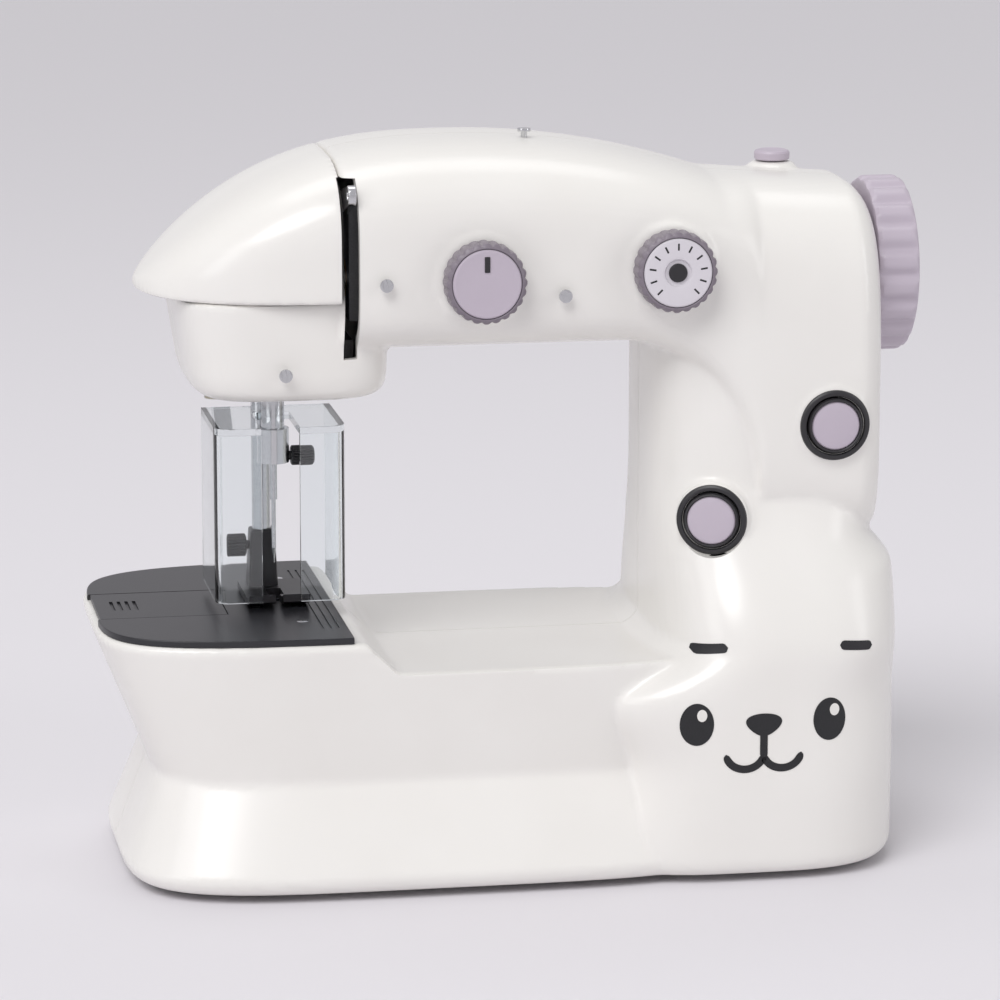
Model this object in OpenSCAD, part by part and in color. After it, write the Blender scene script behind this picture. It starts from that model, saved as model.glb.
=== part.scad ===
// Toy sewing machine: a battery lockstitch machine with its whole drive inside two shells.
// X runs from the needle end to the handwheel, Y to the back and Z up from the table.

/* [Housing] */
// Length from the bed's left end to the outer face of the handwheel
overall_l = 216; // [210:1:224]
// Height of the arm's highest point
overall_h = 190; // [187:1:196]
// Depth of the base, front to back
base_d = 106; // [102:1:116]
// Depth of the arm, front to back
arm_d = 74; // [72:1:80]
// Thickness of the moulded shells
wall = 2.4; // [2:0.1:2.6]
// Height of the bed under the needle
bed_h = 68; // [67:0.5:70]
// Step from the bed down to the shelf beside the column
shelf_drop = 10; // [8:0.5:11]
// Reach from the needle to the column of a machine of the usual length
throat_l = 97; // [95:1:100]
// Height of the arm's underside
arm_under = 138; // [137:0.5:140]
// Drop of the needle head below the arm's underside
head_drop = 12; // [11:0.5:13]
// Height of the seam under the nose cover, above the arm's underside
nose_rise = 14; // [13.6:0.2:15]
// Height of the groove round the foot of the bed
waist_z = 29; // [26:0.5:32]
// Depth of the groove round the foot of the bed
waist_in = 11; // [8:0.5:12]
// How much deeper the groove is at the bed's left end
waist_end = 3.5; // [0:0.5:4]
// How far the foot of the bed stays behind its top at the left end
foot_back = 6; // [0:0.5:8]
// How far the base steps out past the column on the right
base_step = 6; // [4:0.5:8]

/* [Needle and presser foot] */
// Needle line from the bed's left end
needle_in = 49; // [48:0.5:52]
// Travel of the needle bar
stroke = 20; // [17:0.5:20]
// Needle bar diameter
needle_bar_d = 6; // [5:0.1:6]
// Presser bar diameter
presser_bar_d = 5; // [4.4:0.1:5]
// Lift of the presser foot
foot_lift = 5.5; // [4:0.1:5.5]
// Width of the clear finger guard
guard_w = 34; // [32:0.5:36]
// Height of the clear finger guard
guard_h = 46; // [42:0.5:47]

/* [Drive] */
// Diameter of the main and lower shafts
shaft_d = 6; // [5:0.1:6.4]
// Handwheel diameter
wheel_d = 46; // [42:0.5:48]
// Handwheel width
wheel_w = 11; // [10:0.5:12]
// Upper belt pulley diameter, twice the lower one
pulley_d = 28; // [26:0.5:29]
// Belt width
belt_w = 7; // [5:0.5:7.5]
// Teeth on the motor pinion
pinion_teeth = 10; // [10:1:11]
// Motor can diameter
motor_d = 20; // [18:0.5:21]
// Motor can length
motor_l = 27; // [24:0.5:28]

/* [Controls] */
// Diameter of the two dials on the arm
dial_d = 21; // [19:0.5:22]
// Diameter of the two push buttons on the column
button_d = 14.4; // [12:0.2:15]
// Travel of the push buttons
button_travel = 1.5; // [1:0.1:1.8]
// Spool pin diameter
spool_d = 5; // [4:0.1:5.4]
// Lift of the spool pin
spool_lift = 38; // [30:1:40]

/* [Base and plates] */
// Height of the rubber feet below the shells
foot_h = 2; // [1.5:0.1:2.4]
// Thickness of the plate on the bed
plate_t = 1.6; // [1.4:0.1:2]
// Length of one cell in the battery box
cell_l = 51; // [50:0.5:52]
// Diameter of one cell in the battery box
cell_d = 14.6; // [14.4:0.1:15]
// Number of cells side by side
cells = 4; // [3:1:4]

/* [Fits] */
// Radial clearance of running shafts and bars
run_gap = 0.06; // [0.03:0.01:0.09]
// Clearance between parts fixed to each other
press_gap = 0.02; // [0.02:0.01:0.05]
// Clearance of sliding plates and loose covers
slide_gap = 0.2; // [0.15:0.01:0.3]
// Clearance of buttons and other loose moving parts
loose_gap = 0.3; // [0.25:0.01:0.4]

/* [Hidden] */
$fn = 48;
eps = 0.5;
far = 2*(overall_l + overall_h);

// Places along the length
x_left = -overall_l/2;
x_right = overall_l/2;
needle_x = x_left + needle_in;
usual_l = 216;
col_l = needle_x + throat_l + overall_l - usual_l;
wheel_gap = 1;
col_r = x_right - wheel_w - wheel_gap;
base_r = col_r + base_step;
tip_x = x_left + 13;
slot_x = needle_x + 16;
slot_w = 3.6;
slot_l = slot_x - slot_w/2;
hump_x = x_left + 0.45*overall_l;

// Places up the height
bed_top = bed_h - plate_t;
shelf_h = bed_h - shelf_drop;
head_under = arm_under - head_drop;
visor_z = arm_under + nose_rise;
shaft_z = arm_under + 15;
lower_z = bed_h - 22;
base_half = base_d/2;
arm_half = arm_d/2;

// Outer skin: each body is a loft through rounded sections
ring_n = 32;
cavity_n = 16;
edge_in = 3;
bed_lean = 6;
bed_r = col_l + 22;
bed_pow = 4.5;
block_l = col_l - 23;
block_waist = 7;
blend_z = shelf_h - 11;
step_z = shelf_h + 20;
col_pow = 3.4;
crease = 3;
arm_pow = 3;
arm_low_pow = 5;
end_r = 9;
nose_x = slot_x + 6;
nose_solid = 8;
nose_edge = 2.5;
nose_pow = 2.7;
hump_drop = 11;
cap_fall = 2;
arc_x = col_l - 9;
arc_w = 34;
arc_z = shelf_h + 28;
dip_angle = 50;
dip_x = arc_x + arc_w*sin(dip_angle);
ramp_l = 10;
head_l = needle_x - 27;
head_r = needle_x + 28;
head_half = arm_half - 4;
head_taper = 4;
head_pow = 4;

function ease(a, b, t) = let (u = min(1, max(0, t))) a + (b - a)*u*u*(3 - 2*u);
function signed_pow(v, p) = sign(v)*pow(abs(v), p);
function ring(n, power, ca, ha, cb, hb, low_power = 0) = [
    for (i = [0 : n - 1])
        let (t = 360*(i + 0.5)/n, p = 2/(low_power > 0 && sin(t) < 0 ? low_power : power))
        [ca + ha*signed_pow(cos(t), p), cb + hb*signed_pow(sin(t), p)]
];

// Faces of a loft whose rings run anticlockwise seen from its far end
function loft_faces(rings, n) = concat(
    [[for (i = [0 : n - 1]) i]],
    [for (j = [0 : rings - 2], i = [0 : n - 1]) [j*n + i, (j + 1)*n + i, (j + 1)*n + (i + 1) % n]],
    [for (j = [0 : rings - 2], i = [0 : n - 1]) [j*n + i, (j + 1)*n + (i + 1) % n, j*n + (i + 1) % n]],
    [[for (i = [n - 1 : -1 : 0]) (rings - 1)*n + i]]
);

module loft_z(levels, rings) {
    polyhedron(
        points = [for (j = [0 : len(levels) - 1], p = rings[j]) [p[0], p[1], levels[j]]],
        faces = loft_faces(len(levels), len(rings[0])));
}

module loft_x(stations, rings) {
    polyhedron(
        points = [for (j = [0 : len(stations) - 1], p = rings[j]) [stations[j], p[0], p[1]]],
        faces = loft_faces(len(stations), len(rings[0])));
}

// Bed: a foot that flares to the table, a sharp groove and a flat top
function bed_ring(inset, lean, end = 0, n = ring_n) =
    let (left = x_left + inset + end)
    ring(n, bed_pow, (left + bed_r)/2, (bed_r - left)/2, 0, base_half - inset - lean);

module bed_body() {
    levels = [foot_h, foot_h + 1.2, foot_h + 4, waist_z, bed_top - 1.2, bed_top];
    insets = [edge_in, 1, 0, waist_in, 0, 0.8];
    leans = [0, 0, 0, 0, bed_lean, bed_lean];
    ends = [foot_back, foot_back, foot_back, waist_end, 0, 0];
    difference() {
        loft_z(levels, [for (j = [0 : len(levels) - 1]) bed_ring(insets[j], leans[j], ends[j])]);
        shelf_step(0);
    }
}

module bed_cavity() {
    levels = [foot_h - eps, foot_h + 3, foot_h + 6, waist_z, bed_top - wall];
    insets = [edge_in, edge_in, 0.6, waist_in, 0];
    leans = [0, 0, 0, 0, bed_lean];
    ends = [foot_back, foot_back, foot_back, waist_end, 0];
    difference() {
        loft_z(levels, [
            for (j = [0 : len(levels) - 1])
                bed_ring(insets[j] + wall, leans[j], ends[j], cavity_n)
        ]);
        shelf_step(wall);
    }
}

// Cuts the bed down to the shelf beside the column
module shelf_step(inset) {
    ramp_x = slot_x - 0.4*inset;
    translate([0, far/2, 0])
        rotate([90, 0, 0])
            linear_extrude(far)
                polygon([
                    [ramp_x, bed_h + far], [ramp_x, bed_h - inset], [ramp_x + ramp_l, shelf_h - inset],
                    [far, shelf_h - inset], [far, bed_h + far]
                ]);
}

// Column: a broad block at the table that eases up into the arm
function col_left(z) =
    z < waist_z ? ease(block_l, block_l + block_waist, (z - foot_h - 4)/(waist_z - foot_h - 4))
    : z < blend_z ? ease(block_l + block_waist, block_l, (z - waist_z)/(blend_z - waist_z))
    : ease(block_l, col_l, (z - blend_z)/15);
function col_right(z) = ease(base_r, col_r, (z - step_z)/10);
function col_half(z) = ease(base_half, arm_half - crease, (z - shelf_h)/45);
function col_ring(z, inset, n = ring_n) =
    let (left = col_left(z), right = col_right(z))
    ring(n, col_pow, (left + right)/2, (right - left)/2 - inset, 0, col_half(z) - inset);

module column_body() {
    foot_levels = [foot_h, foot_h + 1.2, foot_h + 4];
    foot_insets = [edge_in, 1, 0];
    blends = [0, 4, 8, 12, 16];
    steps = [0, 3, 5, 7, 10, 16, 26];
    levels = concat(
        foot_levels, [0.5*(foot_h + 4 + waist_z), waist_z, 0.5*(waist_z + blend_z)],
        [for (b = blends) blend_z + b], [0.5*(blend_z + 16 + step_z)], [for (s = steps) step_z + s],
        [arm_under - 6, shaft_z]);
    loft_z(levels, [
        for (j = [0 : len(levels) - 1])
            col_ring(levels[j], j < len(foot_insets) ? foot_insets[j] : 0)
    ]);
}

module column_cavity() {
    foot_levels = [foot_h - eps, foot_h + 3, foot_h + 6];
    foot_insets = [edge_in, edge_in, 0.6];
    levels = concat(
        foot_levels, [waist_z, blend_z, blend_z + 8, blend_z + 16],
        [step_z, step_z + 5, step_z + 10, step_z + 26, shaft_z - wall]);
    loft_z(levels, [
        for (j = [0 : len(levels) - 1])
            col_ring(levels[j], wall + (j < len(foot_insets) ? foot_insets[j] : 0), cavity_n)
    ]);
}

// Arm: a barrel section from the pointed nose to the rounded end over the handwheel
function end_in(x) = let (d = x - col_r + end_r) d > 0 ? end_r - sqrt(max(0, end_r*end_r - d*d)) : 0;
function top_z(x) =
    x < hump_x ? overall_h - (overall_h - visor_z - nose_edge)*pow((hump_x - x)/(hump_x - tip_x), nose_pow)
    : x < dip_x ? overall_h - hump_drop*pow((x - hump_x)/(dip_x - hump_x), 2)
    : overall_h - hump_drop - cap_fall*(x - dip_x)/(col_r - dip_x);
function under_z(x) =
    x < arc_x ? arm_under
    : x < arc_x + arc_w ? arc_z + (arm_under - arc_z)*sqrt(1 - pow((x - arc_x)/arc_w, 2))
    : arc_z;
function half_y(x) =
    x < nose_x ? max(2, arm_half*pow(1 - pow((nose_x - x)/(nose_x - tip_x), 3), 0.45)) : arm_half;
function arm_ring(x, inset, n = ring_n) =
    let (low = under_z(x) + inset, high = top_z(x) - inset - end_in(x))
    ring(n, arm_pow, 0, half_y(x) - inset - end_in(x), (low + high)/2, (high - low)/2, arm_low_pow);
// Front of the arm at a place along X and a height
function arm_front(x, z) =
    let (middle = (under_z(x) + top_z(x))/2, half = (top_z(x) - under_z(x))/2)
    let (power = z < middle ? arm_low_pow : arm_pow)
    -half_y(x)*pow(1 - pow(abs(z - middle)/half, power), 1/power);

module arm_body() {
    nose = [0, 0.02, 0.06, 0.12, 0.2, 0.3, 0.42, 0.56, 0.7, 0.85, 1];
    arc = [0, 12, 25, 38, dip_angle, 60, 69, 77, 84, 90];
    end = [0, 0.4, 0.7, 0.88, 0.97];
    stations = concat(
        [for (t = nose) tip_x + t*(hump_x - tip_x)],
        [for (t = [0.35, 0.7]) hump_x + t*(arc_x - hump_x)],
        [for (a = arc) arc_x + arc_w*sin(a)],
        [for (t = end) col_r - end_r*(1 - t)]);
    loft_x(stations, [for (x = stations) arm_ring(x, 0)]);
}

module arm_cavity() {
    nose = [0, 0.1, 0.22, 0.36, 0.52, 0.7, 1];
    arc = [0, 25, dip_angle, 69, 84, 90];
    end = [0, 0.5, 0.8];
    start = tip_x + nose_solid;
    stations = concat(
        [for (t = nose) start + t*(hump_x - start)],
        [for (a = arc) arc_x + arc_w*sin(a)],
        [for (t = end) col_r - end_r + t*(end_r - wall)]);
    loft_x(stations, [for (x = stations) arm_ring(x, wall, cavity_n)]);
}

// Needle head: a slightly tapered box under the nose
function head_ring(z, inset, n = ring_n) =
    let (lean = head_taper*(visor_z - z)/(visor_z - head_under), half = (head_r - head_l - lean)/2)
    ring(n, head_pow, (head_l + head_r + lean)/2, half - inset, 0, head_half - 0.4*lean - inset);

module head_body() {
    rises = [0, 1, 3, 6];
    insets = [4, 1.6, 0.4, 0];
    levels = concat([for (r = rises) head_under + r], [visor_z]);
    loft_z(levels, [for (j = [0 : len(levels) - 1]) head_ring(levels[j], j < len(insets) ? insets[j] : 0)]);
}

module head_cavity() {
    levels = [head_under + wall, head_under + 5, visor_z + eps];
    insets = [2, 0, 0];
    loft_z(levels, [for (j = [0 : len(levels) - 1]) head_ring(levels[j], wall + insets[j], cavity_n)]);
}

module skin() {
    bed_body();
    column_body();
    head_body();
    difference() {
        arm_body();
        nose_end(-far);
    }
}

module hollow() {
    bed_cavity();
    column_cavity();
    head_cavity();
    difference() {
        arm_cavity();
        nose_end(-far);
    }
}

module half_space(side) {
    translate([-far/2, side < 0 ? -far : 0, -far/2])
        cube([far, far, far]);
}

// The space left of the take-up slot and above a height
module nose_end(low) {
    translate([slot_l - far, -far/2, low])
        cube([far, far, 2*far]);
}

module along_x(x, y, z, r, l) {
    translate([x, y, z])
        rotate([0, 90, 0])
            cylinder(r = r, h = l);
}

module along_y(x, y, z, r, l) {
    translate([x, y, z])
        rotate([-90, 0, 0])
            cylinder(r = r, h = l);
}

module along_z(x, y, z, r, l) {
    translate([x, y, z])
        cylinder(r = r, h = l);
}

module block(x0, x1, y0, y1, z0, z1) {
    translate([x0, y0, z0])
        cube([x1 - x0, y1 - y0, z1 - z0]);
}

// Screws that close the shells, each as its place along X and up Z
post_r = 4;
pilot_r = 1.1;
shank_r = 1.5;
screw_r = 2.8;
well_r = 3.2;
well_y = 8;
screw_l = 16;
posts = [
    [arc_x - 19, overall_h - 14], [col_l + 8, overall_h - 16], [col_l + 9, arm_under - 28],
    [col_l + 14, foot_h + 14], [x_left + 17, waist_z + 12], [block_l + 7, waist_z - 5]
];

module screw_posts() {
    for (p = posts)
        along_y(p[0], -far/2, p[1], post_r, far);
}

module front_pilots() {
    for (p = posts)
        along_y(p[0], -screw_l + well_y - 1, p[1], pilot_r + 0.5, far);
}

module rear_wells() {
    for (p = posts) {
        along_y(p[0], -eps, p[1], shank_r + 0.2, far);
        along_y(p[0], well_y, p[1], well_r, far);
    }
}

// Openings shared by both shells
gate_x = 8;
gate_front = 7;
gate_back = 6;
gate_h = 8;
plate_rim = 3;
cover_l = 33;
cover_half = 15;
cover_x = needle_x - 14;

module shared_openings() {
    block(needle_x - gate_x, needle_x + gate_x, -gate_front, presser_y + gate_back,
        head_under - eps, head_under + gate_h);
    along_x(col_r - far/2, 0, shaft_z, shaft_d/2 + 2, far);
    block(needle_x - 13, slot_x - 3, -feed_l/2 - 6, feed_l/2 + 6, bed_top - wall - eps, bed_h + eps);
    block(cover_x - cover_l + plate_rim, cover_x - plate_rim,
        plate_rim - cover_half, cover_half - plate_rim, bed_top - wall - eps, bed_h + eps);
}

// Controls on the front, each as its place along X and up Z and its turn to the side
tension_share = 33/82;
speed_at = [col_l + 1, arm_under + 21];
tension_at = [slot_x + tension_share*(speed_at[0] - slot_x), arm_under + 19.5];
power_at = [col_r - 14, arc_z + 31];
lamp_at = [col_l + 12, arc_z + 7];
lamp_turn = -20;
dial_y = -arm_half - 0.4;
power_y = -arm_half - 0.4;
lamp_y = -arm_half + 1;
boss_lip = 1;
bezel_w = 2;
dial_t = 7;
stem_r = 3;
stem_l = 9;
cap_l = 6;
cap_proud = 1.4;
cup_floor = 2.9;
cup_l = cap_l - cap_proud + button_travel + cup_floor;

module dial_boss(at) {
    along_y(at[0], dial_y, at[1], dial_d/2 + boss_lip, 13);
}

module dial_bore(at) {
    along_y(at[0], dial_y - far, at[1], stem_r + run_gap, far + stem_l + 1);
}

module at_lamp() {
    translate([lamp_at[0], lamp_y, lamp_at[1]])
        rotate([0, 0, lamp_turn])
            children();
}

module at_power() {
    translate([power_at[0], power_y, power_at[1]])
        children();
}

module button_boss() {
    along_y(0, 0, 0, button_d/2 + loose_gap + bezel_w, cup_l + wall);
}

module button_bore() {
    along_y(0, -far, 0, button_d/2 + loose_gap, far + cup_l);
}

slot_lap = 0.05;
slot_low = arm_under - 1;
slot_high = top_z(slot_x) - wall - 2;

module front_shell() {
    color("white")
        difference() {
            intersection() {
                union() {
                    difference() {
                        skin();
                        difference() {
                            hollow();
                            screw_posts();
                        }
                    }
                    dial_boss(tension_at);
                    dial_boss(speed_at);
                    at_power()
                        button_boss();
                    at_lamp()
                        button_boss();
                }
                half_space(-1);
            }
            shared_openings();
            front_pilots();
            dial_bore(tension_at);
            dial_bore(speed_at);
            at_power()
                button_bore();
            at_lamp()
                button_bore();
            block(slot_l - slot_lap, slot_l + slot_w, -far, -arm_half/2, slot_low, slot_high);
            along_z(lens_x, lens_y, head_under - eps, lens_r + press_gap, wall + 2*eps);
            guide_holes();
        }
}

// Rear shell
spool_x = col_r - 20;
spool_y = 12;
sleeve_r = 6;
sleeve_top = overall_h - hump_drop;
sleeve_l = 27;
jack_z = waist_z - 5;
dc_y = 9;
pedal_y = 23;
jack_r = 4;

module rear_shell() {
    color("white")
        difference() {
            intersection() {
                union() {
                    difference() {
                        skin();
                        difference() {
                            hollow();
                            screw_posts();
                        }
                    }
                    along_z(spool_x, spool_y, sleeve_top - sleeve_l, sleeve_r, sleeve_l);
                }
                half_space(1);
            }
            shared_openings();
            rear_wells();
            along_z(spool_x, spool_y, 0, spool_d/2 + run_gap, far);
            along_x(base_r - 12, dc_y, jack_z, jack_r + press_gap, far);
            along_x(base_r - 12, pedal_y, jack_z, jack_r + press_gap, far);
            block(lever_x - 1, lever_x + lever_t + 1, head_half - 14, far, head_under - eps, visor_z - 1);
        }
}

module head_cover() {
    color("white")
        difference() {
            intersection() {
                arm_body();
                nose_end(visor_z);
            }
            arm_cavity();
            block(slot_l - 1, far, -far, -arm_half/2, slot_low, slot_high);
        }
}

// Chassis that carries every shaft and bar
rail_y = 18;
rail_t = 3;
web_t = 4;
web_front = 9;
bush_r = shaft_d/2 + 2;
bush_flange = 1.2;
upper_left_x = slot_x + 3;
upper_right_x = col_r - 10;
lower_left_x = slot_x;
lower_right_x = col_l + 32;
rail_l = needle_x - 6.5;
rail_r = upper_right_x + web_t;
case_web_x = needle_x - 15;
case_web_t = 2.5;
gear_x = col_l + 5;
gear_t = 6;
motor_plate_x = gear_x + gear_t + 1;
motor_plate_t = 2;
leg_w = 10;
rail_rise = 13;
rail_drop = 16;
web_half = 10;
motor_web_half = 11;
floor_z = foot_h + wall;
yoke_half = 4.5;
guide_low = head_under + wall + 0.1;
guide_high = shaft_z - stroke/2 - yoke_half - 0.6;
presser_x = needle_x - 2;
presser_y = 10;
bar_bush_t = 1.1;
pivot_y = 18;
pivot_z = guide_high + 0.6;
pivot_r = 2;
take_y = 8;
take_z = shaft_z + 15;
take_r = 2;
upper_guide_z = shaft_z + 9;
upper_guide_t = 4;
feed_z = bed_h - 7;

module web(x, t, front, low, high) {
    block(x, x + t, -front, rail_y + rail_t, low, high);
}

module chassis() {
    color("silver")
        difference() {
            union() {
                block(rail_l, head_r - 8, rail_y, rail_y + rail_t, guide_low, shaft_z + rail_rise);
                block(rail_l, rail_r, rail_y, rail_y + rail_t, arm_under + wall + 4, shaft_z + rail_rise);
                block(lower_right_x - 2, rail_r, rail_y, rail_y + rail_t,
                    lower_z - rail_drop, shaft_z + rail_rise);
                block(case_web_x, rail_r, rail_y, rail_y + rail_t, lower_z - rail_drop, lower_z + 8);
                block(case_web_x, slot_x - 3, rail_y, rail_y + rail_t, lower_z, feed_z - slide_gap);
                web(upper_left_x, web_t, web_front, shaft_z - web_half, take_z + 5);
                web(upper_right_x, web_t, web_front, shaft_z - web_half, shaft_z + web_half);
                web(lower_left_x, web_t, web_front, lower_z - web_half, lower_z + 7);
                web(lower_right_x, web_t, web_front, lower_z - web_half, lower_z + web_half);
                web(case_web_x, case_web_t, web_front, lower_z - 8, lower_z + 8);
                web(motor_plate_x, motor_plate_t, motor_axis + motor_d/2,
                    lower_z - motor_web_half, lower_z + motor_web_half);
                block(rail_l, upper_left_x + 1, -8, rail_y + 1, guide_low, guide_high);
                block(rail_l, needle_x + 1.5, presser_y - 4.5, rail_y + 1,
                    upper_guide_z, upper_guide_z + upper_guide_t);
                along_x(lever_x - 1, pivot_y, pivot_z, pivot_r, rail_l - lever_x + 2);
                along_x(rail_l, pivot_y, pivot_z, 4, 4);
                along_x(slot_x - 3, take_y, take_z, take_r, upper_left_x - slot_x + 4);
                for (x = [case_web_x, rail_r - 2.2*leg_w])
                    block(x, x + leg_w, rail_y - 6, rail_y + rail_t + 6, floor_z, lower_z - web_half);
            }
            along_x(upper_left_x - far/2, 0, shaft_z, bush_r + press_gap, far);
            for (x = [lower_left_x, lower_right_x])
                along_x(x - eps, 0, lower_z, bush_r + press_gap, web_t + 2*eps);
            along_x(motor_plate_x - eps, 0, lower_z, shaft_d/2 + 1.5, motor_plate_t + 2*eps);
            along_x(motor_plate_x - eps, -motor_axis, lower_z, motor_nose_r + press_gap,
                motor_plate_t + 2*eps);
            along_z(needle_x, 0, guide_low - eps, needle_bar_d/2 + bar_bush_t + press_gap,
                2*eps + guide_high - guide_low);
            along_z(presser_x, presser_y, guide_low - eps, presser_bar_d/2 + bar_bush_t + press_gap,
                2*eps + guide_high - guide_low);
            along_z(presser_x, presser_y, upper_guide_z - eps, presser_bar_d/2 + run_gap,
                upper_guide_t + 2*eps);
        }
}

module shaft_bush(x, z) {
    difference() {
        union() {
            along_x(x, 0, z, bush_r, web_t);
            along_x(x + web_t, 0, z, bush_r + 1.5, bush_flange);
        }
        along_x(x - eps, 0, z, shaft_d/2 + run_gap, web_t + bush_flange + 2*eps);
    }
}

module shaft_bushes() {
    color("goldenrod") {
        shaft_bush(upper_left_x, shaft_z);
        shaft_bush(upper_right_x, shaft_z);
        shaft_bush(lower_left_x, lower_z);
        shaft_bush(lower_right_x, lower_z);
    }
}

module bar_bush(x, y, r) {
    difference() {
        along_z(x, y, guide_low, r + bar_bush_t, guide_high - guide_low);
        along_z(x, y, guide_low - eps, r + run_gap, guide_high - guide_low + 2*eps);
    }
}

module bar_bushes() {
    color("goldenrod") {
        bar_bush(needle_x, 0, needle_bar_d/2);
        bar_bush(presser_x, presser_y, presser_bar_d/2);
    }
}

// Upper drive
crank_x = needle_x + 9.5;
crank_t = 4.3;
crank_r = 13;
crank_pin_r = 2;
pulley_x = col_l + 20;
pulley_t = belt_w + 2;
flange_t = 1;
flange_h = 1.5;
belt_t = 1.2;

module main_shaft() {
    color("silver")
        along_x(crank_x, 0, shaft_z, shaft_d/2, x_right - wheel_dish - wheel_floor - crank_x);
}

module crank_disc() {
    color("dimgray")
        difference() {
            union() {
                along_x(crank_x, 0, shaft_z, crank_r, crank_t);
                along_x(yoke_x + yoke_t + loose_gap, 0, shaft_z + stroke/2, crank_pin_r,
                    crank_x - yoke_x - yoke_t - loose_gap + 1);
            }
            along_x(crank_x - eps, 0, shaft_z, shaft_d/2 + press_gap, crank_t + 2*eps);
        }
}

module pulley(z, r) {
    difference() {
        union() {
            along_x(pulley_x, 0, z, r, pulley_t);
            for (x = [pulley_x, pulley_x + pulley_t - flange_t])
                along_x(x, 0, z, r + flange_h, flange_t);
        }
        along_x(pulley_x - eps, 0, z, shaft_d/2 + press_gap, pulley_t + 2*eps);
    }
}

module upper_pulley() {
    color("dimgray")
        pulley(shaft_z, pulley_d/2);
}

module belt_loop(grow) {
    hull() {
        translate([0, shaft_z])
            circle(r = pulley_d/2 + grow);
        translate([0, lower_z])
            circle(r = pulley_d/4 + grow);
    }
}

module drive_belt() {
    color("black")
        translate([pulley_x + pulley_t/2 - (belt_w - 0.6)/2, 0, 0])
            rotate([90, 0, 90])
                linear_extrude(belt_w - 0.6)
                    difference() {
                        belt_loop(slide_gap + belt_t);
                        belt_loop(slide_gap);
                    }
}

// Handwheel with a winder spindle in its dished face
wheel_dish = 6;
wheel_rim = 4;
wheel_floor = 1.5;
wheel_grips = 20;
spindle_r = 2.95;

module handwheel() {
    color("thistle")
        difference() {
            union() {
                difference() {
                    along_x(col_r + wheel_gap, 0, shaft_z, wheel_d/2, wheel_w);
                    along_x(x_right - wheel_dish, 0, shaft_z, wheel_d/2 - wheel_rim, wheel_dish + eps);
                    for (i = [0 : wheel_grips - 1])
                        translate([0, 0, shaft_z])
                            rotate([360*i/wheel_grips, 0, 0])
                                along_x(col_r, 0, wheel_d/2 + 0.8, 1.8, wheel_w + 2);
                }
                along_x(x_right - wheel_dish - 0.5, 0, shaft_z, spindle_r, wheel_dish);
            }
            along_x(col_r, 0, shaft_z, shaft_d/2 + press_gap,
                wheel_gap + wheel_w - wheel_dish - wheel_floor + press_gap);
        }
}

// Lower drive
gear_mod = 0.8;
gear_ratio = 4;
gear_teeth = gear_ratio*pinion_teeth;
motor_axis = gear_mod*(gear_teeth + pinion_teeth)/2;
motor_nose_r = 3;
motor_shaft_r = 1;
hook_x = needle_x + 1.4;
hook_r = 13;
hook_t = 3;
cam_x = hook_x + 6;
cam_t = 5;
cam_r = 6;
feed_half = 1.25;

function gear_outline(teeth) = [
    for (i = [0 : teeth - 1], k = [0 : 3])
        let (r = gear_mod*teeth/2 + gear_mod*[-1.1, 0.8, 0.8, -1.1][k])
        let (a = 360/teeth*(i + [-0.24, -0.08, 0.08, 0.24][k]))
        [r*cos(a), r*sin(a)]
];

module gear(teeth, t) {
    rotate([90, 0, 90])
        linear_extrude(t)
            polygon(gear_outline(teeth));
}

module lower_shaft() {
    color("silver")
        along_x(hook_x + hook_t, 0, lower_z, shaft_d/2, lower_right_x + web_t + 4 - hook_x - hook_t);
}

module lower_pulley() {
    color("dimgray")
        pulley(lower_z, pulley_d/4);
}

module drive_gear() {
    color("ivory")
        translate([0, 0, lower_z])
            difference() {
                translate([gear_x, 0, 0])
                    gear(gear_teeth, gear_t);
                along_x(gear_x - eps, 0, 0, shaft_d/2 + press_gap, gear_t + 2*eps);
            }
}

module motor() {
    color("silver")
        difference() {
            union() {
                along_x(motor_plate_x + motor_plate_t, -motor_axis, lower_z, motor_d/2, motor_l);
                along_x(motor_plate_x, -motor_axis, lower_z, motor_nose_r, motor_plate_t);
            }
            along_x(motor_plate_x - eps, -motor_axis, lower_z, motor_shaft_r + run_gap, 10);
        }
}

// The pinion's gap faces the gear's tooth where they mesh
module motor_pinion() {
    color("goldenrod")
        union() {
            translate([gear_x + 0.5, -motor_axis, lower_z])
                rotate([180/pinion_teeth, 0, 0])
                    gear(pinion_teeth, gear_t - 1);
            along_x(gear_x, -motor_axis, lower_z, motor_shaft_r, motor_plate_x + 8 - gear_x);
        }
}

module rotary_hook() {
    color("silver")
        difference() {
            union() {
                along_x(hook_x, 0, lower_z, hook_r, hook_t);
                along_x(hook_x + hook_t - eps, 0, lower_z, 5, cam_x - hook_x - hook_t + eps);
                along_x(cam_x, feed_half, lower_z, cam_r, cam_t);
            }
            along_x(hook_x + hook_t, 0, lower_z, shaft_d/2 + press_gap, far);
            translate([hook_x - eps, 0, lower_z])
                rotate([25, 0, 0])
                    translate([0, hook_r - 3, 0])
                        cube([hook_t + 2*eps, hook_r, hook_r/2]);
        }
}

// Bobbin in its case, which the chassis keeps from turning
case_r = 11.5;
case_wall = 0.9;
case_l = 11;
bobbin_r = 10;
bobbin_l = 8.6;
post_x = case_web_x + case_web_t;

module bobbin_case() {
    color("lightgray")
        union() {
            difference() {
                along_x(post_x, 0, lower_z, case_r, case_l);
                along_x(post_x + case_wall, 0, lower_z, case_r - case_wall, case_l);
            }
            along_x(post_x, 0, lower_z, 2.5, case_l - 0.6);
        }
}

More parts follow.
